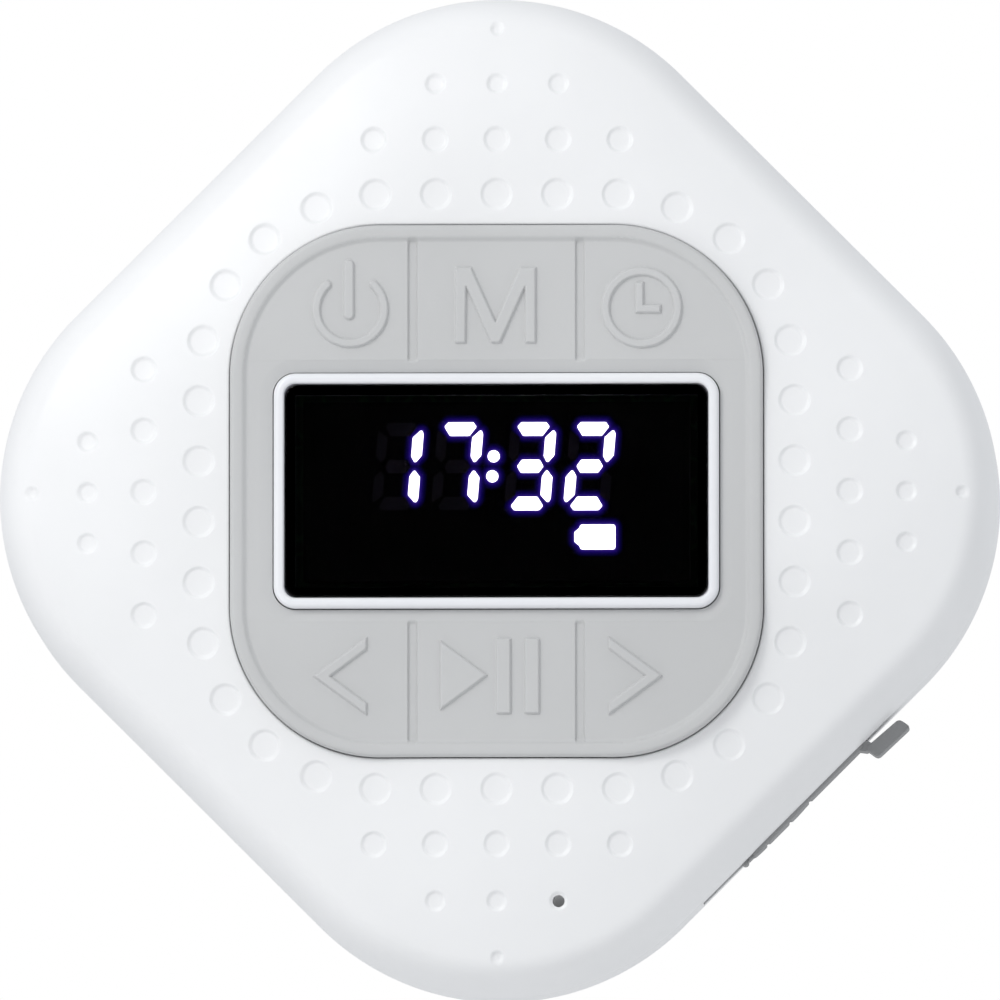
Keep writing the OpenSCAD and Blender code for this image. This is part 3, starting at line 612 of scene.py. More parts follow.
def front_shell():
    """The front shell: its side, tight edge, dimpled face and the step that the keypad sits on."""
    flat, out = housing_outline(320, 200)
    rows = section_rows(flat, out, FRONT_SIDE)
    for d in quarter_steps(RIM_IN, 26) * RIM_SHARE:
        rows.append(pressed(*skin(flat - out * d)))
    edge = flat - out * RIM_IN * RIM_SHARE
    way, angle = ways_to(edge)
    reach = ray_to_rounded_square(angle, PAD_HALF + PAD_GAP, PAD_RADIUS + PAD_GAP)
    lip = way * (reach + PAD_LIP)[:, None]
    for t in np.linspace(0, 1, 150)[1:]:
        rows.append(pressed(*skin(edge + (lip - edge) * t)))
    lip_z = skin(lip)[0][:, 2]
    for turn in np.radians([22.5, 45, 67.5, 90]):
        rounded = reach + PAD_LIP * (1 - math.sin(turn))
        rows.append(with_z(way * rounded[:, None], lip_z - PAD_LIP * (1 - math.cos(turn))))
    rows.append(with_z(way * reach[:, None], SHELF_Z))
    rows += [with_z(way * (reach - PAD_SHELF)[:, None], z) for z in (SHELF_Z, SHELF_LOW_Z)]
    rows += section_rows(flat, out, FRONT_INSIDE)
    obj = ring_solid("front_shell_skin", rows, 55)
    hole = disc_rows(*MIC_AT, [(MIC_HOLE / 2, 40), (MIC_HOLE / 2, 56)])
    return cut(obj, [capped_points(hole)], 55)


def cut(obj, shapes, smooth_angle=35):
    """Cuts shapes, each its points and faces, out of a mesh."""
    tools = [make_mesh("tool", *shape) for shape in shapes]
    for tool in tools:
        modifier = obj.modifiers.new("cut", "BOOLEAN")
        modifier.operation = "DIFFERENCE"
        modifier.solver = "MANIFOLD"
        modifier.object = tool
    graph = bpy.context.evaluated_depsgraph_get()
    mesh = bpy.data.meshes.new_from_object(obj.evaluated_get(graph))
    obj.modifiers.clear()
    old = obj.data
    obj.data = mesh
    bpy.data.meshes.remove(old)
    for tool in tools:
        bpy.data.objects.remove(tool)
    shade(mesh, smooth_angle)
    return obj


def side_block(low, high, r=0.4):
    """A block with its long edges rounded, between two corners in the side's axes."""
    w, h = high[1] - low[1], high[2] - low[2]
    flat, _ = rounded_outline(w, h, r, 6, 2)
    flat = flat + [(low[1] + high[1]) / 2, (low[2] + high[2]) / 2]
    rows = [from_side(np.concatenate([np.full((len(flat), 1), u), flat], -1)) for u in (low[0], high[0])]
    return capped_points(rows)


def strip_block(u, v, half_w, r):
    """A side_block from u[0] and v[0] to u[1] and v[1], as wide each side of the flap's middle."""
    return side_block([u[0], v[0], FLAP_Z - half_w], [u[1], v[1], FLAP_Z + half_w], r)


def side_rod(v, z, r, low, high, count=40):
    """A round rod that runs out through the side."""
    angle = np.linspace(0, 2 * math.pi, count, endpoint=False)
    rows = [from_side(np.stack([np.full(count, u), v + r * np.cos(angle), z + r * np.sin(angle)], -1))
            for u in (low, high)]
    return capped_points(rows)


def disc_rows(x, y, profile, count=48):
    """Rows of a turned piece about an axis out of the wall; profile is (radius, z) pairs."""
    angle = np.linspace(0, 2 * math.pi, count, endpoint=False)
    return [np.stack([x + r * np.cos(angle), y + r * np.sin(angle), np.full(count, z)], -1)
            for r, z in profile]


def flap_pocket_shapes():
    """What the flap, its seal, its hinge, its strip and the two sockets need cut out of the side."""
    past = HALF + 3
    return [
        strip_block((FLAP_INNER - 0.1, past), (FLAP_LOW - 0.2, FLAP_HIGH + 0.25), FLAP_WIDTH / 2 + 0.2,
                    2.5),
        strip_block((PORT_FACE + 0.1, FLAP_INNER + 1), (FLAP_LOW + 0.6, FLAP_HIGH - 0.6), 3.4, 2.2),
        strip_block((HALF - 1.2, past), (HINGE_V - 0.7, FLAP_LOW + 0.5), STRIP_HALF_W, 0.5),
        strip_block((HALF - 0.9, past), (STRIP_LOW, HINGE_V), STRIP_HALF_W, 0.5),
        side_block([PORT_FROM, USB_V - USB_HALF_W, USB_Z - USB_HALF_H],
                   [PORT_TO, USB_V + USB_HALF_W, USB_Z + USB_HALF_H], 0.8),
        side_rod(AUX_V, AUX_Z, AUX_R, PORT_FROM, PORT_TO),
    ]


def rear_housing():
    """The rear housing, with the pocket for the flap and four screw holes."""
    flat, out = housing_outline(66, 44)
    rows = section_rows(flat, out, BACK_SIDE)
    for d in quarter_steps(BACK_IN, 26)[1:]:
        edge = flat - out * d
        rows.append(with_z(edge, back_z(np.full(len(edge), d))))
    way, _ = ways_to(edge)
    lip_r = GRILLE_R + GRILLE_LIP
    for t in (0.35, 0.7, 1):
        rows.append(with_z(edge + (way * lip_r - edge) * t, BACK_Z))
    for turn in np.radians([30, 60, 90]):
        rounded = lip_r - GRILLE_LIP * math.sin(turn)
        rows.append(with_z(way * rounded, BACK_Z + GRILLE_LIP * (1 - math.cos(turn))))
    rows.append(with_z(way * GRILLE_R, BACK_Z + WALL))
    rows += section_rows(flat, out, BACK_INSIDE)
    obj = ring_solid("rear_housing_skin", rows, 55)
    hole = [(SCREW_HOLE_R, 5), (SCREW_HOLE_R, 30)]
    holes = [capped_points(disc_rows(*turned((0, SCREW_AT), q), hole)) for q in range(4)]
    return cut(obj, holes + flap_pocket_shapes())


def port_bay():
    """The block behind the flap that the sockets look out of."""
    bay = make_mesh("port_bay", *side_block([55.4, -12.6, 22.6], [58.12, 14.4, 32], 0.5))
    return cut(bay, flap_pocket_shapes())


# ---- keypad

def pad_distance(x, y):
    """Distance to the keypad's outline."""
    return box_distance(x, y, 2 * PAD_HALF, 2 * PAD_HALF, PAD_RADIUS)


def cell_distance(x, y, side, row, gap=0.0):
    """Distance to the flat shape of a key's cell: side is -1, 0 or 1, row is -1 or 1."""
    half, r = PAD_HALF - PAD_RIM - gap, PAD_RADIUS - PAD_RIM - gap
    d = box_distance(x, y, 2 * half, 2 * half, r)
    d = np.maximum(d, ROW_Y + gap - row * y)
    if side == 0:
        return np.maximum(d, np.abs(x) - DIVIDER_X + gap)
    return np.maximum(d, DIVIDER_X + DIVIDER_W + gap - side * x)


def slope(value, edge, sides):
    """A smooth rise from 0 to 1 across an edge, between its two sides (how far below, how far above)."""
    return smooth_step(value, edge + sides[0], edge + sides[1])


def pad_height(x, y):
    """Height of the rubber, the same for the frame and the keys so that they meet level."""
    outer = pad_distance(x, y)
    in_row = slope(np.abs(y), ROW_Y, ROW_SLOPE)
    from_divider = np.abs(np.abs(x) - DIVIDER_X - DIVIDER_W / 2)
    groove = 1 - slope(from_divider, DIVIDER_W / 2, DIVIDER_SLOPE)
    to_bezel = box_distance(x, y, BEZEL_W, BEZEL_H, BEZEL_RADIUS)
    kept = 1 - BAND_DIP_LOST * smooth_step(np.abs(x), *BAND_DIP_FADE)
    dip = BAND_DIP * kept * np.clip(1 - to_bezel / BAND_REACH, 0, 1)
    z = KEY_FACE_Z - (KEY_FACE_Z - DIVIDER_Z) * groove * in_row - dip
    rim = slope(outer, -PAD_RIM, PAD_RIM_SLOPE)
    crown = PAD_RIM_CROWN * np.clip(1 - ((outer + PAD_RIM / 2) / PAD_RIM * 2) ** 2, 0, 1)
    return z + (PAD_TOP_Z - PAD_RIM_CROWN - z) * rim + crown - edge_drop(outer, PAD_EDGE_R)


def keypad_frame():
    """The rubber rim, the dividers between the keys and the band round the display."""
    def distance(x, y):
        d = pad_distance(x, y)
        for side in (-1, 0, 1):
            for row in (-1, 1):
                d = np.maximum(d, -cell_distance(x, y, side, row))
        w, h = BEZEL_W + 2 * BEZEL_GAP, BEZEL_H + 2 * BEZEL_GAP
        return np.maximum(d, -box_distance(x, y, w, h, BEZEL_RADIUS + BEZEL_GAP))

    reach = PAD_HALF + 0.4
    return relief("keypad_rubber", distance, pad_height, ((-reach, reach),) * 2, PAD_STEP, PAD_LOW_Z)


def power_sign(x, y):
    """A ring open at the top, with a bar in the gap."""
    ring = loop_distance(x, y, 5.3, STROKE, math.radians(43))
    return np.minimum(ring, stroke_distance(x, y, (-0.2, -0.7), (-0.2, 6.2), 1.4, True))


def mode_sign(x, y):
    """The letter M."""
    corners = [(-5.6, -5.2), (-4.2, -5.2), (-4.1, 2.6), (-0.6, -5.2), (0.6, -5.2), (4.1, 2.6),
               (4.2, -5.2), (5.6, -5.2), (5.6, 5.3), (3.4, 5.3), (0, -2.3), (-3.4, 5.3), (-5.6, 5.3)]
    return polygon_distance(x, y, corners)


def clock_sign(x, y):
    """A ring with two hands."""
    hub = (-0.3, -0.2)
    hands = [stroke_distance(x, y, hub, end, STROKE) for end in ((-0.3, 3), (2.1, -0.2))]
    return np.minimum(loop_distance(x, y, 5.6, STROKE), np.minimum(*hands))


def arrowhead(x, y):
    """An arrowhead that points left, with its ends cut upright."""
    return polygon_distance(x, y, [(0, 0), (7.4, -5.4), (7.4, -3.8), (2.3, 0), (7.4, 3.8), (7.4, 5.4)])


def play_sign(x, y):
    """A triangle and two bars."""
    triangle = polygon_distance(x, y, [(-7.8, -4.7), (-1.3, 0.1), (-7.8, 4.9)])
    bars = [box_distance(x - at, y, 2, 10.5, 0.2) for at in (1, 5)]
    return np.minimum(triangle, np.minimum(*bars))


# Each key's column and row, where its sign is, and the distance to the sign
KEYS = {
    "power": (-1, 1, (-20.4, 25.4), power_sign),
    "mode": (0, 1, (-0.1, 25.9), mode_sign),
    "clock": (1, 1, (20.3, 25.6), clock_sign),
    "previous": (-1, -1, (-25.5, -25.9), arrowhead),
    "play": (0, -1, (0, -25.9), play_sign),
    "next": (1, -1, (23.1, -25.9), lambda x, y: arrowhead(-x, y)),
}


def key(name, side, row, at, sign):
    """A key's face, with its sign standing up from it."""
    def distance(x, y):
        return cell_distance(x, y, side, row, KEY_GAP)

    def height(x, y):
        t = np.clip((SIGN_FOOT - sign(x - at[0], y - at[1])) / SIGN_ROUND, 0, 1)
        return pad_height(x, y) + SIGN_UP * (1 - (1 - t) ** SIGN_POWER)

    margin = 0.3
    outer = PAD_HALF - PAD_RIM + margin
    across = (-DIVIDER_X - margin, DIVIDER_X + margin)
    if side:
        across = sorted((side * (DIVIDER_X + DIVIDER_W - margin), side * outer))
    up = sorted((row * (ROW_Y - margin), row * outer))
    return relief(f"key_{name}_face", distance, height, (across, up), KEY_STEP, KEY_LOW_Z)


# ---- display

def display_bezel():
    """The white ring round the window, rounded over its top."""
    flat, out = rounded_outline(BEZEL_W, BEZEL_H, BEZEL_RADIUS, 20, 24)
    turns = np.radians(np.arange(10, 91, 10))
    section = [(0, PAD_LOW_Z), (0, BEZEL_TOP_Z - 0.9)]
    section += [(0.75 * (1 - math.cos(t)), BEZEL_TOP_Z - 0.9 * (1 - math.sin(t))) for t in turns]
    section += [(BEZEL_RING - 0.45 * (1 - math.sin(t)), BEZEL_TOP_Z - 0.6 * (1 - math.cos(t)))
                for t in turns]
    section += [(BEZEL_RING, LENS_Z), (BEZEL_LEDGE, LENS_Z), (BEZEL_LEDGE, PAD_LOW_Z)]
    return ring_solid("display_bezel_ring", section_rows(flat, out, section), 45)


def display_lens():
    """The window's plate, a hair smaller than the bezel's opening."""
    less = 2 * (BEZEL_RING + LENS_GAP)
    flat, out = rounded_outline(BEZEL_W - less, BEZEL_H - less, LENS_RADIUS, 16, 12)
    rows = rounded_rows(flat, out, LENS_Z, LENS_Z + LENS_THICK, 0.1, 0.25)
    return capped_solid("display_lens_window", rows)


def bar_corners(n):
    """Corners of one bar of a digit, numbered from the top as in the CAD, before the digit is slanted."""
    w, h = DIGIT_W / 2, DIGIT_H / 2
    if n == 3:
        half = LEVEL_BAR_W / 2
        tips = [(1.4 - w, 0), (1.9 - w, -half), (w - 1.9, -half)]
        return tips + [(-x, -y) for x, y in tips]
    if n in (0, 6):
        low = h - LEVEL_BAR_W
        right = [(w - 1.8, low), (w - 1, h - 0.5), (w - 1.35, h)]
        corners = [(-x, y) for x, y in right[1::-1]] + right + [(1.35 - w, h)]
    else:
        near = w - SIDE_BAR_W
        outer = [(w - 0.9, 0.6), (w, 1.45), (w, h - 1.4), (w - 0.2, h - 1.1)]
        corners = [(near, 1.3), *outer, (near, h - 2.05)]
    across = -1 if n in (1, 4) else 1
    up = -1 if n in (4, 5, 6) else 1
    return [(across * x, up * y) for x, y in corners]


def digit_bar_distance(x, y, n):
    """Distance to one bar of a digit, with its corners a little rounded."""
    corners = bar_corners(n)
    middle = np.mean(corners, 0)
    span = np.abs(np.array(corners) - middle).max(0)
    inner = [tuple(middle + (np.array(c) - middle) * (1 - BAR_CORNER / span)) for c in corners]
    return polygon_distance(x - DIGIT_SLANT * y, y, inner, BAR_CORNER)


def battery_distance(x, y):
    """Distance to the battery sign: a block with a nub on its left end."""
    x, y = x - BATTERY_AT[0], y - BATTERY_AT[1]
    nub = polygon_distance(x, y, [(-3.1, -0.6), (-2, -1.5), (-2, 1.5), (-3.1, 0.6)], 0.15)
    return np.minimum(box_distance(x, y, 5, 3.5, 0.4), nub)


def lit_distance(x, y):
    """Distance to whatever is lit behind the window."""
    d = battery_distance(x, y)
    for at, lit in PLACES:
        for n in lit:
            d = np.minimum(d, digit_bar_distance(x - at, y - DIGITS_Y, n))
    for dx, dy in COLON:
        d = np.minimum(d, np.hypot(x - dx, y - DIGITS_Y - dy) - COLON_R)
    return d


def display_face():
    """The module's black face, which carries how strongly the lit bars glow on it at each point."""
    x, y = np.meshgrid(*[np.arange(-half, half + FACE_STEP / 2, FACE_STEP) for half in MODULE_HALF])
    number = np.arange(x.size).reshape(x.shape)
    quads = np.stack([number[:-1, :-1], number[:-1, 1:], number[1:, 1:], number[1:, :-1]], -1)
    points = np.stack([x.ravel(), y.ravel(), np.full(x.size, MODULE_Z + 0.02)], -1)
    rim = np.concatenate([number[0], number[1:, -1], number[-1, -2::-1], number[-2:0:-1, 0]])
    low = points[rim] - [0, 0, MODULE_SKIN]
    below = np.arange(x.size, x.size + len(rim))
    walls = np.stack([np.roll(rim, -1), rim, below, np.roll(below, -1)], -1)
    faces = quads.reshape(-1, 4).tolist() + walls.tolist() + [below[::-1].tolist()]
    obj = make_mesh("display_face", np.concatenate([points, low]), faces)
    glow = np.exp(-np.maximum(lit_distance(x, y).ravel(), 0) / GLOW_REACH)
    values = np.concatenate([glow, np.zeros(len(rim))])
    layer = obj.data.attributes.new("glow", "FLOAT", "POINT")
    layer.data.foreach_set("value", values.astype(np.float32))
    return obj


def lit_bars():
    """The lit bars, the colon and the battery sign, as thin plates with soft corners."""
    def distance(x, y):
        return lit_distance(x, y) + BAR_INSET

    def height(x, y):
        return np.full(np.shape(x), MODULE_Z + 0.2)

    return relief("lit_bars", distance, height, LIT_BOX, BAR_STEP, MODULE_Z - 0.1)


# ---- flap

def flap_seal():
    """The plug behind the cover that fits round the sockets, with rounded edges."""
    flat, out = rounded_outline(SEAL_LENGTH, SEAL_W, 2, 12, 6)
    rows = rounded_rows(flat + [FLAP_V, FLAP_Z], out, PORT_FACE + 0.2, FLAP_INNER + 0.3, 0.25, 0.05)
    return capped_points([from_side(row[:, [2, 0, 1]]) for row in rows])


def softened(corners, r, steps=5):
    """A polygon's outline with its corners rounded, each over a length r of the edges beside it."""
    corners = np.asarray(corners, float)
    points = []
    for n, corner in enumerate(corners):
        ways = [corners[n - 1] - corner, corners[(n + 1) % len(corners)] - corner]
        reach = [min(r, np.linalg.norm(way) / 2.01) for way in ways]
        start, end = (corner + way / np.linalg.norm(way) * length for way, length in zip(ways, reach))
        for t in np.linspace(0, 1, steps):
            points.append(start * (1 - t) ** 2 + corner * 2 * t * (1 - t) + end * t * t)
    return np.array(points)


def tab_piece(corners, half_width, soft):
    """A bar across the flap; its section's corners are (u out of the side, v past the flap's end)."""
    flat = softened([(HALF + u, FLAP_HIGH + v) for u, v in corners], soft)
    along = np.roll(flat, -1, 0) - np.roll(flat, 1, 0)
    out = np.stack([along[:, 1], -along[:, 0]], -1) / np.linalg.norm(along, axis=1, keepdims=True)
    rows = rounded_rows(flat, out, FLAP_Z - half_width, FLAP_Z + half_width, soft / 4, soft / 4)
    return capped_points([from_side(row) for row in rows])


def tab_parts():
    """The pull tab: a short neck out of the flap, and a blade that lies along the side."""
    neck = [(-0.1, -1.9), (1.3, -0.85), (1.3, 0.6), (-0.1, 0.1)]
    blade = [(0.7, -0.75), (2.9, -0.4), (3.1, TAB_LENGTH), (1.15, TAB_LENGTH - 0.4)]
    return [tab_piece(neck, NECK_HALF_W, 0.2), tab_piece(blade, BLADE_HALF_W, 0.6)]


def flap_cover():
    """The cover: a slab with a rounded edge, a low swelling near the hinge and grooves to bend at."""
    def distance(v, z):
        return box_distance(v - FLAP_V, z - FLAP_Z, FLAP_LENGTH, FLAP_WIDTH, FLAP_RADIUS)

    def height(v, z):
        swelling = FLAP_SWELLING * smooth_step(FLAP_V - v, 0, 3)
        groove = sum(np.clip(1 - np.abs(v - at) / FLAP_GROOVE_REACH, 0, 1) for at in FLAP_GROOVES_V)
        return FLAP_OUTER + swelling - FLAP_GROOVE_DEEP * groove - edge_drop(distance(v, z), FLAP_EDGE_R)

    box = ((-11, 13), (FLAP_Z - 4.2, FLAP_Z + 4.2))
    points, faces, _ = relief_points(distance, height, box, FLAP_STEP, FLAP_INNER)
    return from_side(points[:, [2, 0, 1]]), faces


def hinge_arm():
    """The web between the flap and the round bead it bends about, hollowed to fit the bead."""
    turn = np.radians(np.linspace(44, -52, 9))
    cup = np.stack([HINGE_U + HINGE_CUP_R * np.sin(turn), HINGE_V + HINGE_CUP_R * np.cos(turn)], -1)
    outer, inner = FLAP_OUTER - 0.05, HALF - 0.5
    high, low = FLAP_LOW + 0.6, HINGE_V + 0.5
    flat = np.concatenate([[[outer, high], [outer, low]], cup, [[inner, low], [inner, high]]])
    return capped_points([from_side(with_z(flat, FLAP_Z + w)) for w in (-HINGE_HALF_W, HINGE_HALF_W)])


def port_flap():
    """The flap: its cover, the seal that fits round the sockets, the pull tab and the hinge web."""
    return join("port_flap_rubber", [flap_cover(), flap_seal(), *tab_parts(), hinge_arm()])


# ---- back

def suction_cup():
    """The cup: a turned dish, neck and stem, with a pull tab on its lip."""
    dish = [(0.01, 3.4), (4, 3.35), (8, 3.1), (11, 2.7), (13.4, 2.05), (15.2, 1.3), (16.4, 0.5),
            (17, 0.05), (17.2, 0)]
    lip = [(21.7, 0), (21.95, 0.12), (22, 0.35), (21.9, 0.6), (21.4, 0.85)]
    back = [(20.4, 1.6), (18, 3), (15, 4.5), (12, 5.7), (9.4, 6.5), (7.6, 7), (6.7, 7.5), (6.4, 8.2)]
    neck = [(6.4, 11.6), (6.2, 12), (5.8, 12.1), (4, 12.1)]
    knob = [(4, 16.6), (5.2, 16.6), (5.2, 17.3), (3.6, 18.2), (0.01, 18.3)]
    body = capped_points(disc_rows(0, 0, dish + lip + back + neck + knob, 128))
    flat, out = rounded_outline(6, 8.5, 2.9, 12, 4)
    tab = capped_points(rounded_rows(flat + [0, -22.2], out, 0.3, 1.3, 0.25, 0.25))
    return join("suction_cup_rubber", [body, tab])


def screw_plugs():
    """A soft plug in the mouth of each screw hole, with a shallow dish."""
    profile = [(0.01, 16.2), (2.9, 16.2), (3, 16), (3, 12.7), (2.95, 12.4), (2.75, 12.22), (2.4, 12.2),
               (1.6, 12.35), (0.01, 12.5)]
    plugs = [capped_points(disc_rows(*turned((0, SCREW_AT), q), profile)) for q in range(4)]
    return join("screw_plug_discs", plugs)


# ---- materials

def new_material(name):
    """A material, its node tree, its shader and the object's own coordinates."""
    material = bpy.data.materials.new(name)
    material.use_nodes = True
    tree = material.node_tree
    coords = tree.nodes.new("ShaderNodeTexCoord").outputs["Object"]
    return material, tree, tree.nodes["Principled BSDF"], coords


def settle(node, **values):
    """Sets a node's sockets; a _ in a name stands for a space."""
    for name, value in values.items():
        node.inputs[name.replace("_", " ")].default_value = value


def noise(tree, coords, scale, detail=3.0, roughness=0.5):
    """A noise texture's value at the given scale, in turns per metre."""
    texture = tree.nodes.new("ShaderNodeTexNoise")
    settle(texture, Scale=scale, Detail=detail, Roughness=roughness)
    tree.links.new(coords, texture.inputs["Vector"])
    return texture.outputs["Fac"]


def ramp(tree, value, *stops):
    """A colour that goes through the stops, each (position, colour), as value rises."""
    node = tree.nodes.new("ShaderNodeValToRGB")
    elements = node.color_ramp.elements
    for n, (position, colour) in enumerate(stops):
        element = elements[n] if n < 2 else elements.new(position)
        element.position = position
        element.color = (*np.broadcast_to(colour, 3), 1)
    tree.links.new(value, node.inputs["Fac"])
    return node.outputs["Color"]


def spread(tree, value, low, high):
    """A number between low and high as value goes from 0 to 1."""
    node = tree.nodes.new("ShaderNodeMapRange")
    settle(node, To_Min=low, To_Max=high)
    tree.links.new(value, node.inputs["Value"])
    return node.outputs["Result"]


def bump(tree, shader, value, height):
    """Raises the surface by value times height, in metres."""
    node = tree.nodes.new("ShaderNodeBump")
    settle(node, Distance=height)
    tree.links.new(value, node.inputs["Height"])
    tree.links.new(node.outputs["Normal"], shader.inputs["Normal"])


def moulded(name, low, high, roughness=(0.4, 0.5), grain=0.00001, grain_scale=1500, level=0.5):
    """Moulded plastic or rubber: a slightly uneven colour, a fine grain and uneven gloss."""
    material, tree, shader, coords = new_material(name)
    colour = ramp(tree, noise(tree, coords, 25, 4), (0.35, low), (0.65, high))
    tree.links.new(colour, shader.inputs["Base Color"])
    tree.links.new(spread(tree, noise(tree, coords, 90), *roughness), shader.inputs["Roughness"])
    settle(shader, Specular_IOR_Level=level)
    bump(tree, shader, noise(tree, coords, grain_scale, 3, 0.6), grain)
    return material


def soft_skin(name, low, high):
    """Soft translucent rubber."""
    material = moulded(name, low, high, (0.3, 0.45), 0.00001, 900)
    settle(material.node_tree.nodes["Principled BSDF"], Subsurface_Weight=0.4, Subsurface_Scale=1.0,
           Subsurface_Radius=(0.003, 0.003, 0.003), Transmission_Weight=0.55, IOR=1.4)
    return material


def metal(name, low, high, roughness=(0.25, 0.4)):
    """Plated metal with fine scratches."""
    material = moulded(name, low, high, roughness, 0.000004, 2500)
    settle(material.node_tree.nodes["Principled BSDF"], Metallic=1.0)
    return material


def woven(name, low, high, pitch):
    """Woven cloth: two crossing waves of thread, with a matt surface; pitch is in metres."""
    material, tree, shader, coords = new_material(name)
    crossing = tree.nodes.new("ShaderNodeMath")
    crossing.operation = "MULTIPLY"
    for n, direction in enumerate(("X", "Z")):
        wave = tree.nodes.new("ShaderNodeTexWave")
        wave.bands_direction = direction
        settle(wave, Scale=0.05 / pitch * 6.2832)
        tree.links.new(coords, wave.inputs["Vector"])
        tree.links.new(wave.outputs["Fac"], crossing.inputs[n])
    thread = crossing.outputs["Value"]
    tree.links.new(ramp(tree, thread, (0.1, low), (0.8, high)), shader.inputs["Base Color"])
    settle(shader, Roughness=0.85)
    bump(tree, shader, thread, 0.00006)
    return material


def board_mask(name, run, mask):
    """Circuit board: a mask over copper runs, which show as paler lines."""
    material, tree, shader, coords = new_material(name)
    cells = tree.nodes.new("ShaderNodeTexVoronoi")
    cells.feature = "DISTANCE_TO_EDGE"
    settle(cells, Scale=220)
    tree.links.new(coords, cells.inputs["Vector"])
    from_run = cells.outputs["Distance"]
    tree.links.new(ramp(tree, from_run, (0.02, run), (0.07, mask)), shader.inputs["Base Color"])
    settle(shader, Roughness=0.35)
    bump(tree, shader, from_run, 0.00002)
    return material


def smoked_window(name, tint):
    """Dark, clear plastic over the display."""
    material, tree, shader, coords = new_material(name)
    settle(shader, Base_Color=(*tint, 1), Transmission_Weight=1.0, IOR=1.3, Specular_IOR_Level=0.35)
    tree.links.new(spread(tree, noise(tree, coords, 60), 0.02, 0.06), shader.inputs["Roughness"])
    return material


def lit_bar(name, low, high):
    """A lit bar: white in the middle of its light, faintly uneven."""
    material, tree, shader, coords = new_material(name)
    light = ramp(tree, noise(tree, coords, 700, 2), (0.35, low), (0.65, high))
    tree.links.new(light, shader.inputs["Emission Color"])
    settle(shader, Base_Color=(0.8, 0.8, 0.85, 1), Emission_Strength=12)
    return material


def glowing_face(name):
    """The black face round the lit bars, glowing violet where the glow attribute is high."""
    material, tree, shader, coords = new_material(name)
    glow = tree.nodes.new("ShaderNodeAttribute")
    glow.attribute_name = "glow"
    halo = ramp(tree, glow.outputs["Fac"],
                (0.08, (0, 0, 0)), (1.0, (0.011, 0.0035, 0.075)), (0.35, (0.0013, 0.0003, 0.02)))
    tree.links.new(halo, shader.inputs["Emission Color"])
    dust = ramp(tree, noise(tree, coords, 400, 4),
                (0.35, (0.0015, 0.0015, 0.002)), (0.65, (0.003, 0.003, 0.004)))
    tree.links.new(dust, shader.inputs["Base Color"])
    settle(shader, Emission_Strength=11, Roughness=0.6, Specular_IOR_Level=0.1)
    return material


# Moulded slots: their darker and lighter colour, where one number is a grey, and what else moulded takes
MOULDED = {
    "shell_white": ((0.86, 0.865, 0.87), (0.9, 0.905, 0.91), (0.32, 0.42), 0.000004, 1800, 0.4),
    "keypad_grey": ((0.555, 0.56, 0.56), (0.59, 0.595, 0.595), (0.5, 0.6), 0.000012, 2600, 0.3),
    "bezel_white": ((0.84, 0.85, 0.88), (0.88, 0.89, 0.91), (0.2, 0.28), 0.000003, 900),
    "dark_bars": ((0.01, 0.007, 0.016), (0.02, 0.012, 0.028), (0.5, 0.6)),
    "module_black": ((0.004, 0.004, 0.005), (0.008, 0.008, 0.009), (0.5, 0.7)),
    "flap_grey": ((0.25, 0.253, 0.256), (0.31, 0.313, 0.316), (0.5, 0.62), 0.00002, 2200, 0.35),
    "grille_grey": ((0.4, 0.41, 0.42), (0.46, 0.47, 0.48)),
    "plug_grey": ((0.4, 0.41, 0.42), (0.47, 0.48, 0.49), (0.55, 0.65)),
    "seal_black": (0.02, 0.035, (0.6, 0.7)),
    "carbon": (0.01, 0.025, (0.5, 0.6)),
    "chip_black": ((0.012, 0.012, 0.013), (0.022, 0.022, 0.023), (0.45, 0.6)),
    "socket_cream": ((0.66, 0.62, 0.5), (0.72, 0.68, 0.56), (0.35, 0.5)),
    "ribbon": ((0.5, 0.3, 0.06), (0.6, 0.38, 0.09), (0.25, 0.35)),
    "jack_black": ((0.012, 0.012, 0.013), (0.02, 0.02, 0.021), (0.35, 0.5)),
    "cell_wrap": ((0.02, 0.09, 0.28), (0.03, 0.12, 0.34), (0.2, 0.3)),
    "cradle": ((0.6, 0.6, 0.59), (0.68, 0.68, 0.67)),
    "lead_red": ((0.35, 0.01, 0.01), (0.45, 0.02, 0.02)),
    "lead_black": (0.01, 0.02),
    "basket_steel": ((0.015, 0.015, 0.016), (0.03, 0.03, 0.031), (0.3, 0.45)),
    "ferrite": ((0.03, 0.03, 0.032), (0.06, 0.06, 0.062), (0.6, 0.75)),
    "cone_paper": (0.012, 0.03, (0.7, 0.85), 0.00004, 900),
}
OTHERS = {
    "lens_smoked": (smoked_window, (0.3, 0.29, 0.33)),
    "lit_bars": (lit_bar, (0.93, 0.9, 1.0), 1.0),
    "cup_clear": (soft_skin, (0.62, 0.65, 0.67), (0.7, 0.73, 0.75)),
    "mesh_black": (woven, (0.006, 0.006, 0.007), (0.05, 0.05, 0.052), 0.0005),
    "steel": (metal, (0.52, 0.52, 0.53), (0.62, 0.62, 0.63)),
    "gold_pads": (metal, (0.75, 0.55, 0.22), (0.85, 0.66, 0.3), (0.15, 0.3)),
    "board_green": (board_mask, (0.035, 0.17, 0.06), (0.012, 0.07, 0.03)),
    "can_tin": (metal, 0.6, 0.7, (0.2, 0.35)),
    "capacitor": (metal, (0.05, 0.05, 0.08), (0.09, 0.09, 0.13), (0.3, 0.4)),
    "plated_iron": (metal, (0.45, 0.45, 0.44), (0.58, 0.58, 0.55)),
    "spider_cloth": (woven, (0.3, 0.19, 0.05), (0.55, 0.38, 0.14), 0.0006),
    "copper": (metal, (0.5, 0.2, 0.07), (0.64, 0.29, 0.12), (0.3, 0.4)),
}
MATERIALS = {name: moulded(name, *settings) for name, settings in MOULDED.items()}
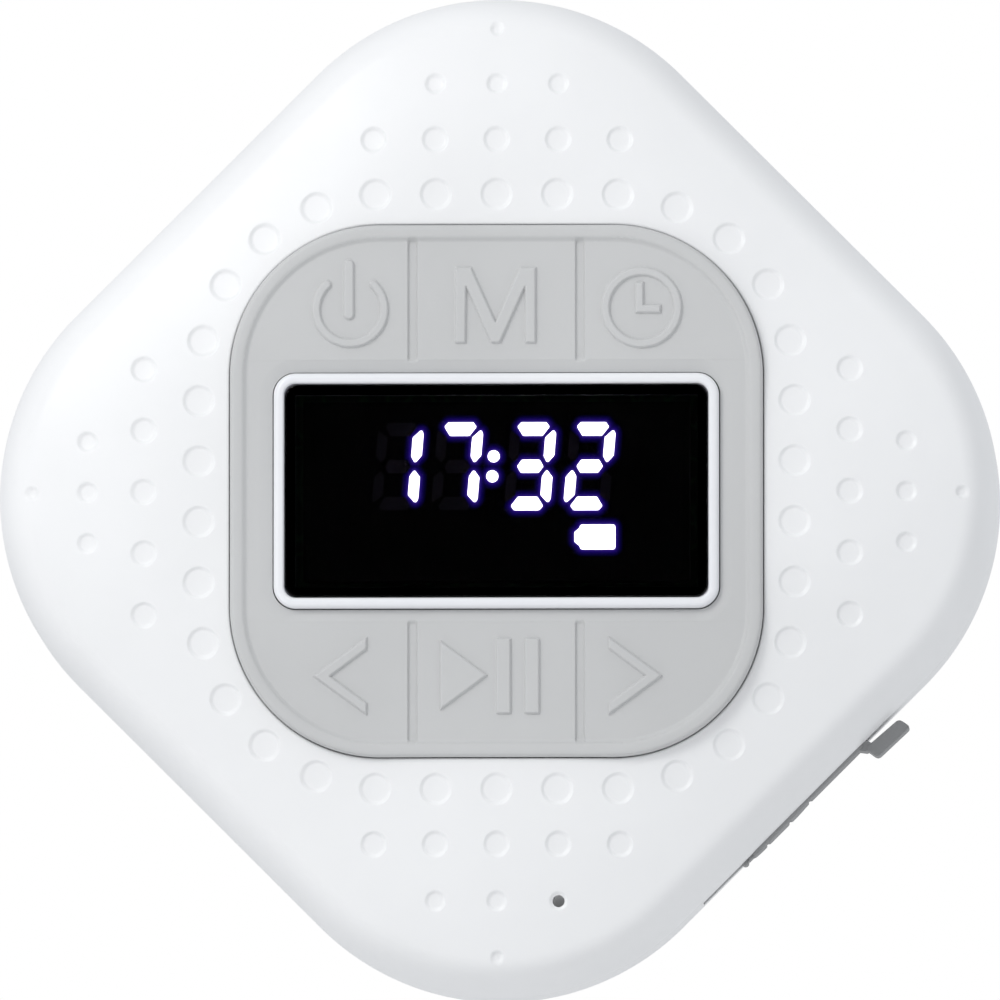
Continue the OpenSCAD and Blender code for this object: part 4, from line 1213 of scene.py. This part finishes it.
MATERIALS.update({name: kind(name, *settings) for name, (kind, *settings) in OTHERS.items()})


def paint(obj, name):
    """Gives an object one of the materials."""
    obj.data.materials.clear()
    obj.data.materials.append(MATERIALS[name])


def place(obj, body, material, *nodes):
    """Paints a new piece, has it ride on its body and stand for its CAD nodes."""
    paint(obj, material)
    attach(obj, body)
    if nodes:
        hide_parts(*nodes)


# ---- the pieces

for entry in frame["record"]["subparts"]:
    paint(frame["nodes"][entry["node"]], entry["material_slot"])

place(front_shell(), "housing", "shell_white", "front_shell")
place(rear_housing(), "housing", "shell_white", "rear_housing")
place(port_bay(), "housing", "shell_white")
place(keypad_frame(), "housing", "keypad_grey", "keypad_frame")
for name, settings in KEYS.items():
    place(key(name, *settings), f"{name}_key", "keypad_grey", f"key_{name}")
place(display_bezel(), "housing", "bezel_white", "display_bezel")
place(display_lens(), "housing", "lens_smoked", "display_lens")
place(lit_bars(), "housing", "lit_bars", "lit_segments", "battery_indicator")
place(port_flap(), "flap", "flap_grey", "port_flap")
place(suction_cup(), "wall_cup", "cup_clear", "suction_cup")
place(screw_plugs(), "housing", "plug_grey", "screw_plugs")

face = display_face()
face.data.materials.append(glowing_face("module_glow"))
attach(face, "housing")


# ---- floor, light and camera

def add_floor():
    """A plain pale floor below the speaker."""
    mesh = bpy.data.meshes.new("floor")
    corners = [(-FLOOR_REACH, FLOOR_FRONT), (FLOOR_REACH, FLOOR_FRONT),
               (FLOOR_REACH, FLOOR_REACH), (-FLOOR_REACH, FLOOR_REACH)]
    mesh.from_pydata([(x, y, FLOOR_Z) for x, y in corners], [], [(0, 1, 2, 3)])
    floor = bpy.data.objects.new("floor", mesh)
    bpy.context.collection.objects.link(floor)
    floor.data.materials.append(
        moulded("floor_pale", (0.86, 0.86, 0.86), (0.88, 0.88, 0.88), (0.8, 0.9), 0.0001, 30, 0.1))


def aim(obj, at, way):
    """Puts a light or camera at a point and turns it to look along way."""
    obj.location = at
    obj.rotation_euler = way.to_track_quat("-Z", "Y").to_euler()
    bpy.context.collection.objects.link(obj)


def add_light(name, at, size, power):
    """A square soft light that looks at the speaker."""
    data = bpy.data.lights.new(name, "AREA")
    data.size = size
    data.energy = power
    data.color = WARM_WHITE
    aim(bpy.data.objects.new(name, data), at, Vector(LIT_POINT) - Vector(at))


def add_world():
    """Soft white light all round, dark just in front as a studio is, and pure white behind the object."""
    world = bpy.data.worlds.new("studio")
    bpy.context.scene.world = world
    world.use_nodes = True
    nodes, links = world.node_tree.nodes, world.node_tree.links
    seen = nodes.new("ShaderNodeLightPath").outputs["Is Camera Ray"]
    way = nodes.new("ShaderNodeSeparateXYZ")
    links.new(nodes.new("ShaderNodeTexCoord").outputs["Generated"], way.inputs["Vector"])
    dark_spot = nodes.new("ShaderNodeMapRange")
    settle(dark_spot, From_Min=-0.985, From_Max=-0.94, To_Max=WORLD_LIGHT)
    links.new(way.outputs["Y"], dark_spot.inputs["Value"])
    soft = nodes["Background"]
    settle(soft, Color=(0.95, 0.97, 1.0, 1))
    links.new(dark_spot.outputs["Result"], soft.inputs["Strength"])
    behind = nodes.new("ShaderNodeBackground")
    settle(behind, Color=(1, 1, 1, 1))
    mix = nodes.new("ShaderNodeMixShader")
    links.new(seen, mix.inputs["Fac"])
    links.new(soft.outputs["Background"], mix.inputs[1])
    links.new(behind.outputs["Background"], mix.inputs[2])
    links.new(mix.outputs["Shader"], nodes["World Output"].inputs["Surface"])


def add_camera():
    """A long lens almost straight in front, a little to the right and below."""
    data = bpy.data.cameras.new("camera")
    data.sensor_width = SENSOR
    data.lens = SENSOR * CAMERA_AWAY / FRAME_WIDTH
    azimuth, elevation = math.radians(CAMERA_AZIMUTH), math.radians(CAMERA_ELEVATION)
    level = math.cos(elevation)
    back = Vector((math.sin(azimuth) * level, -math.cos(azimuth) * level, math.sin(elevation)))
    camera = bpy.data.objects.new("camera", data)
    aim(camera, TARGET + back * CAMERA_AWAY, -back)
    bpy.context.scene.camera = camera


add_floor()
add_world()
add_light("key_light", (-0.42, -0.68, 0.38), 0.3, KEY_LIGHT)
add_light("fill_light", (0.62, -0.22, -0.42), 0.5, FILL_LIGHT)
add_camera()

bpy.context.scene.view_settings.view_transform = "Standard"
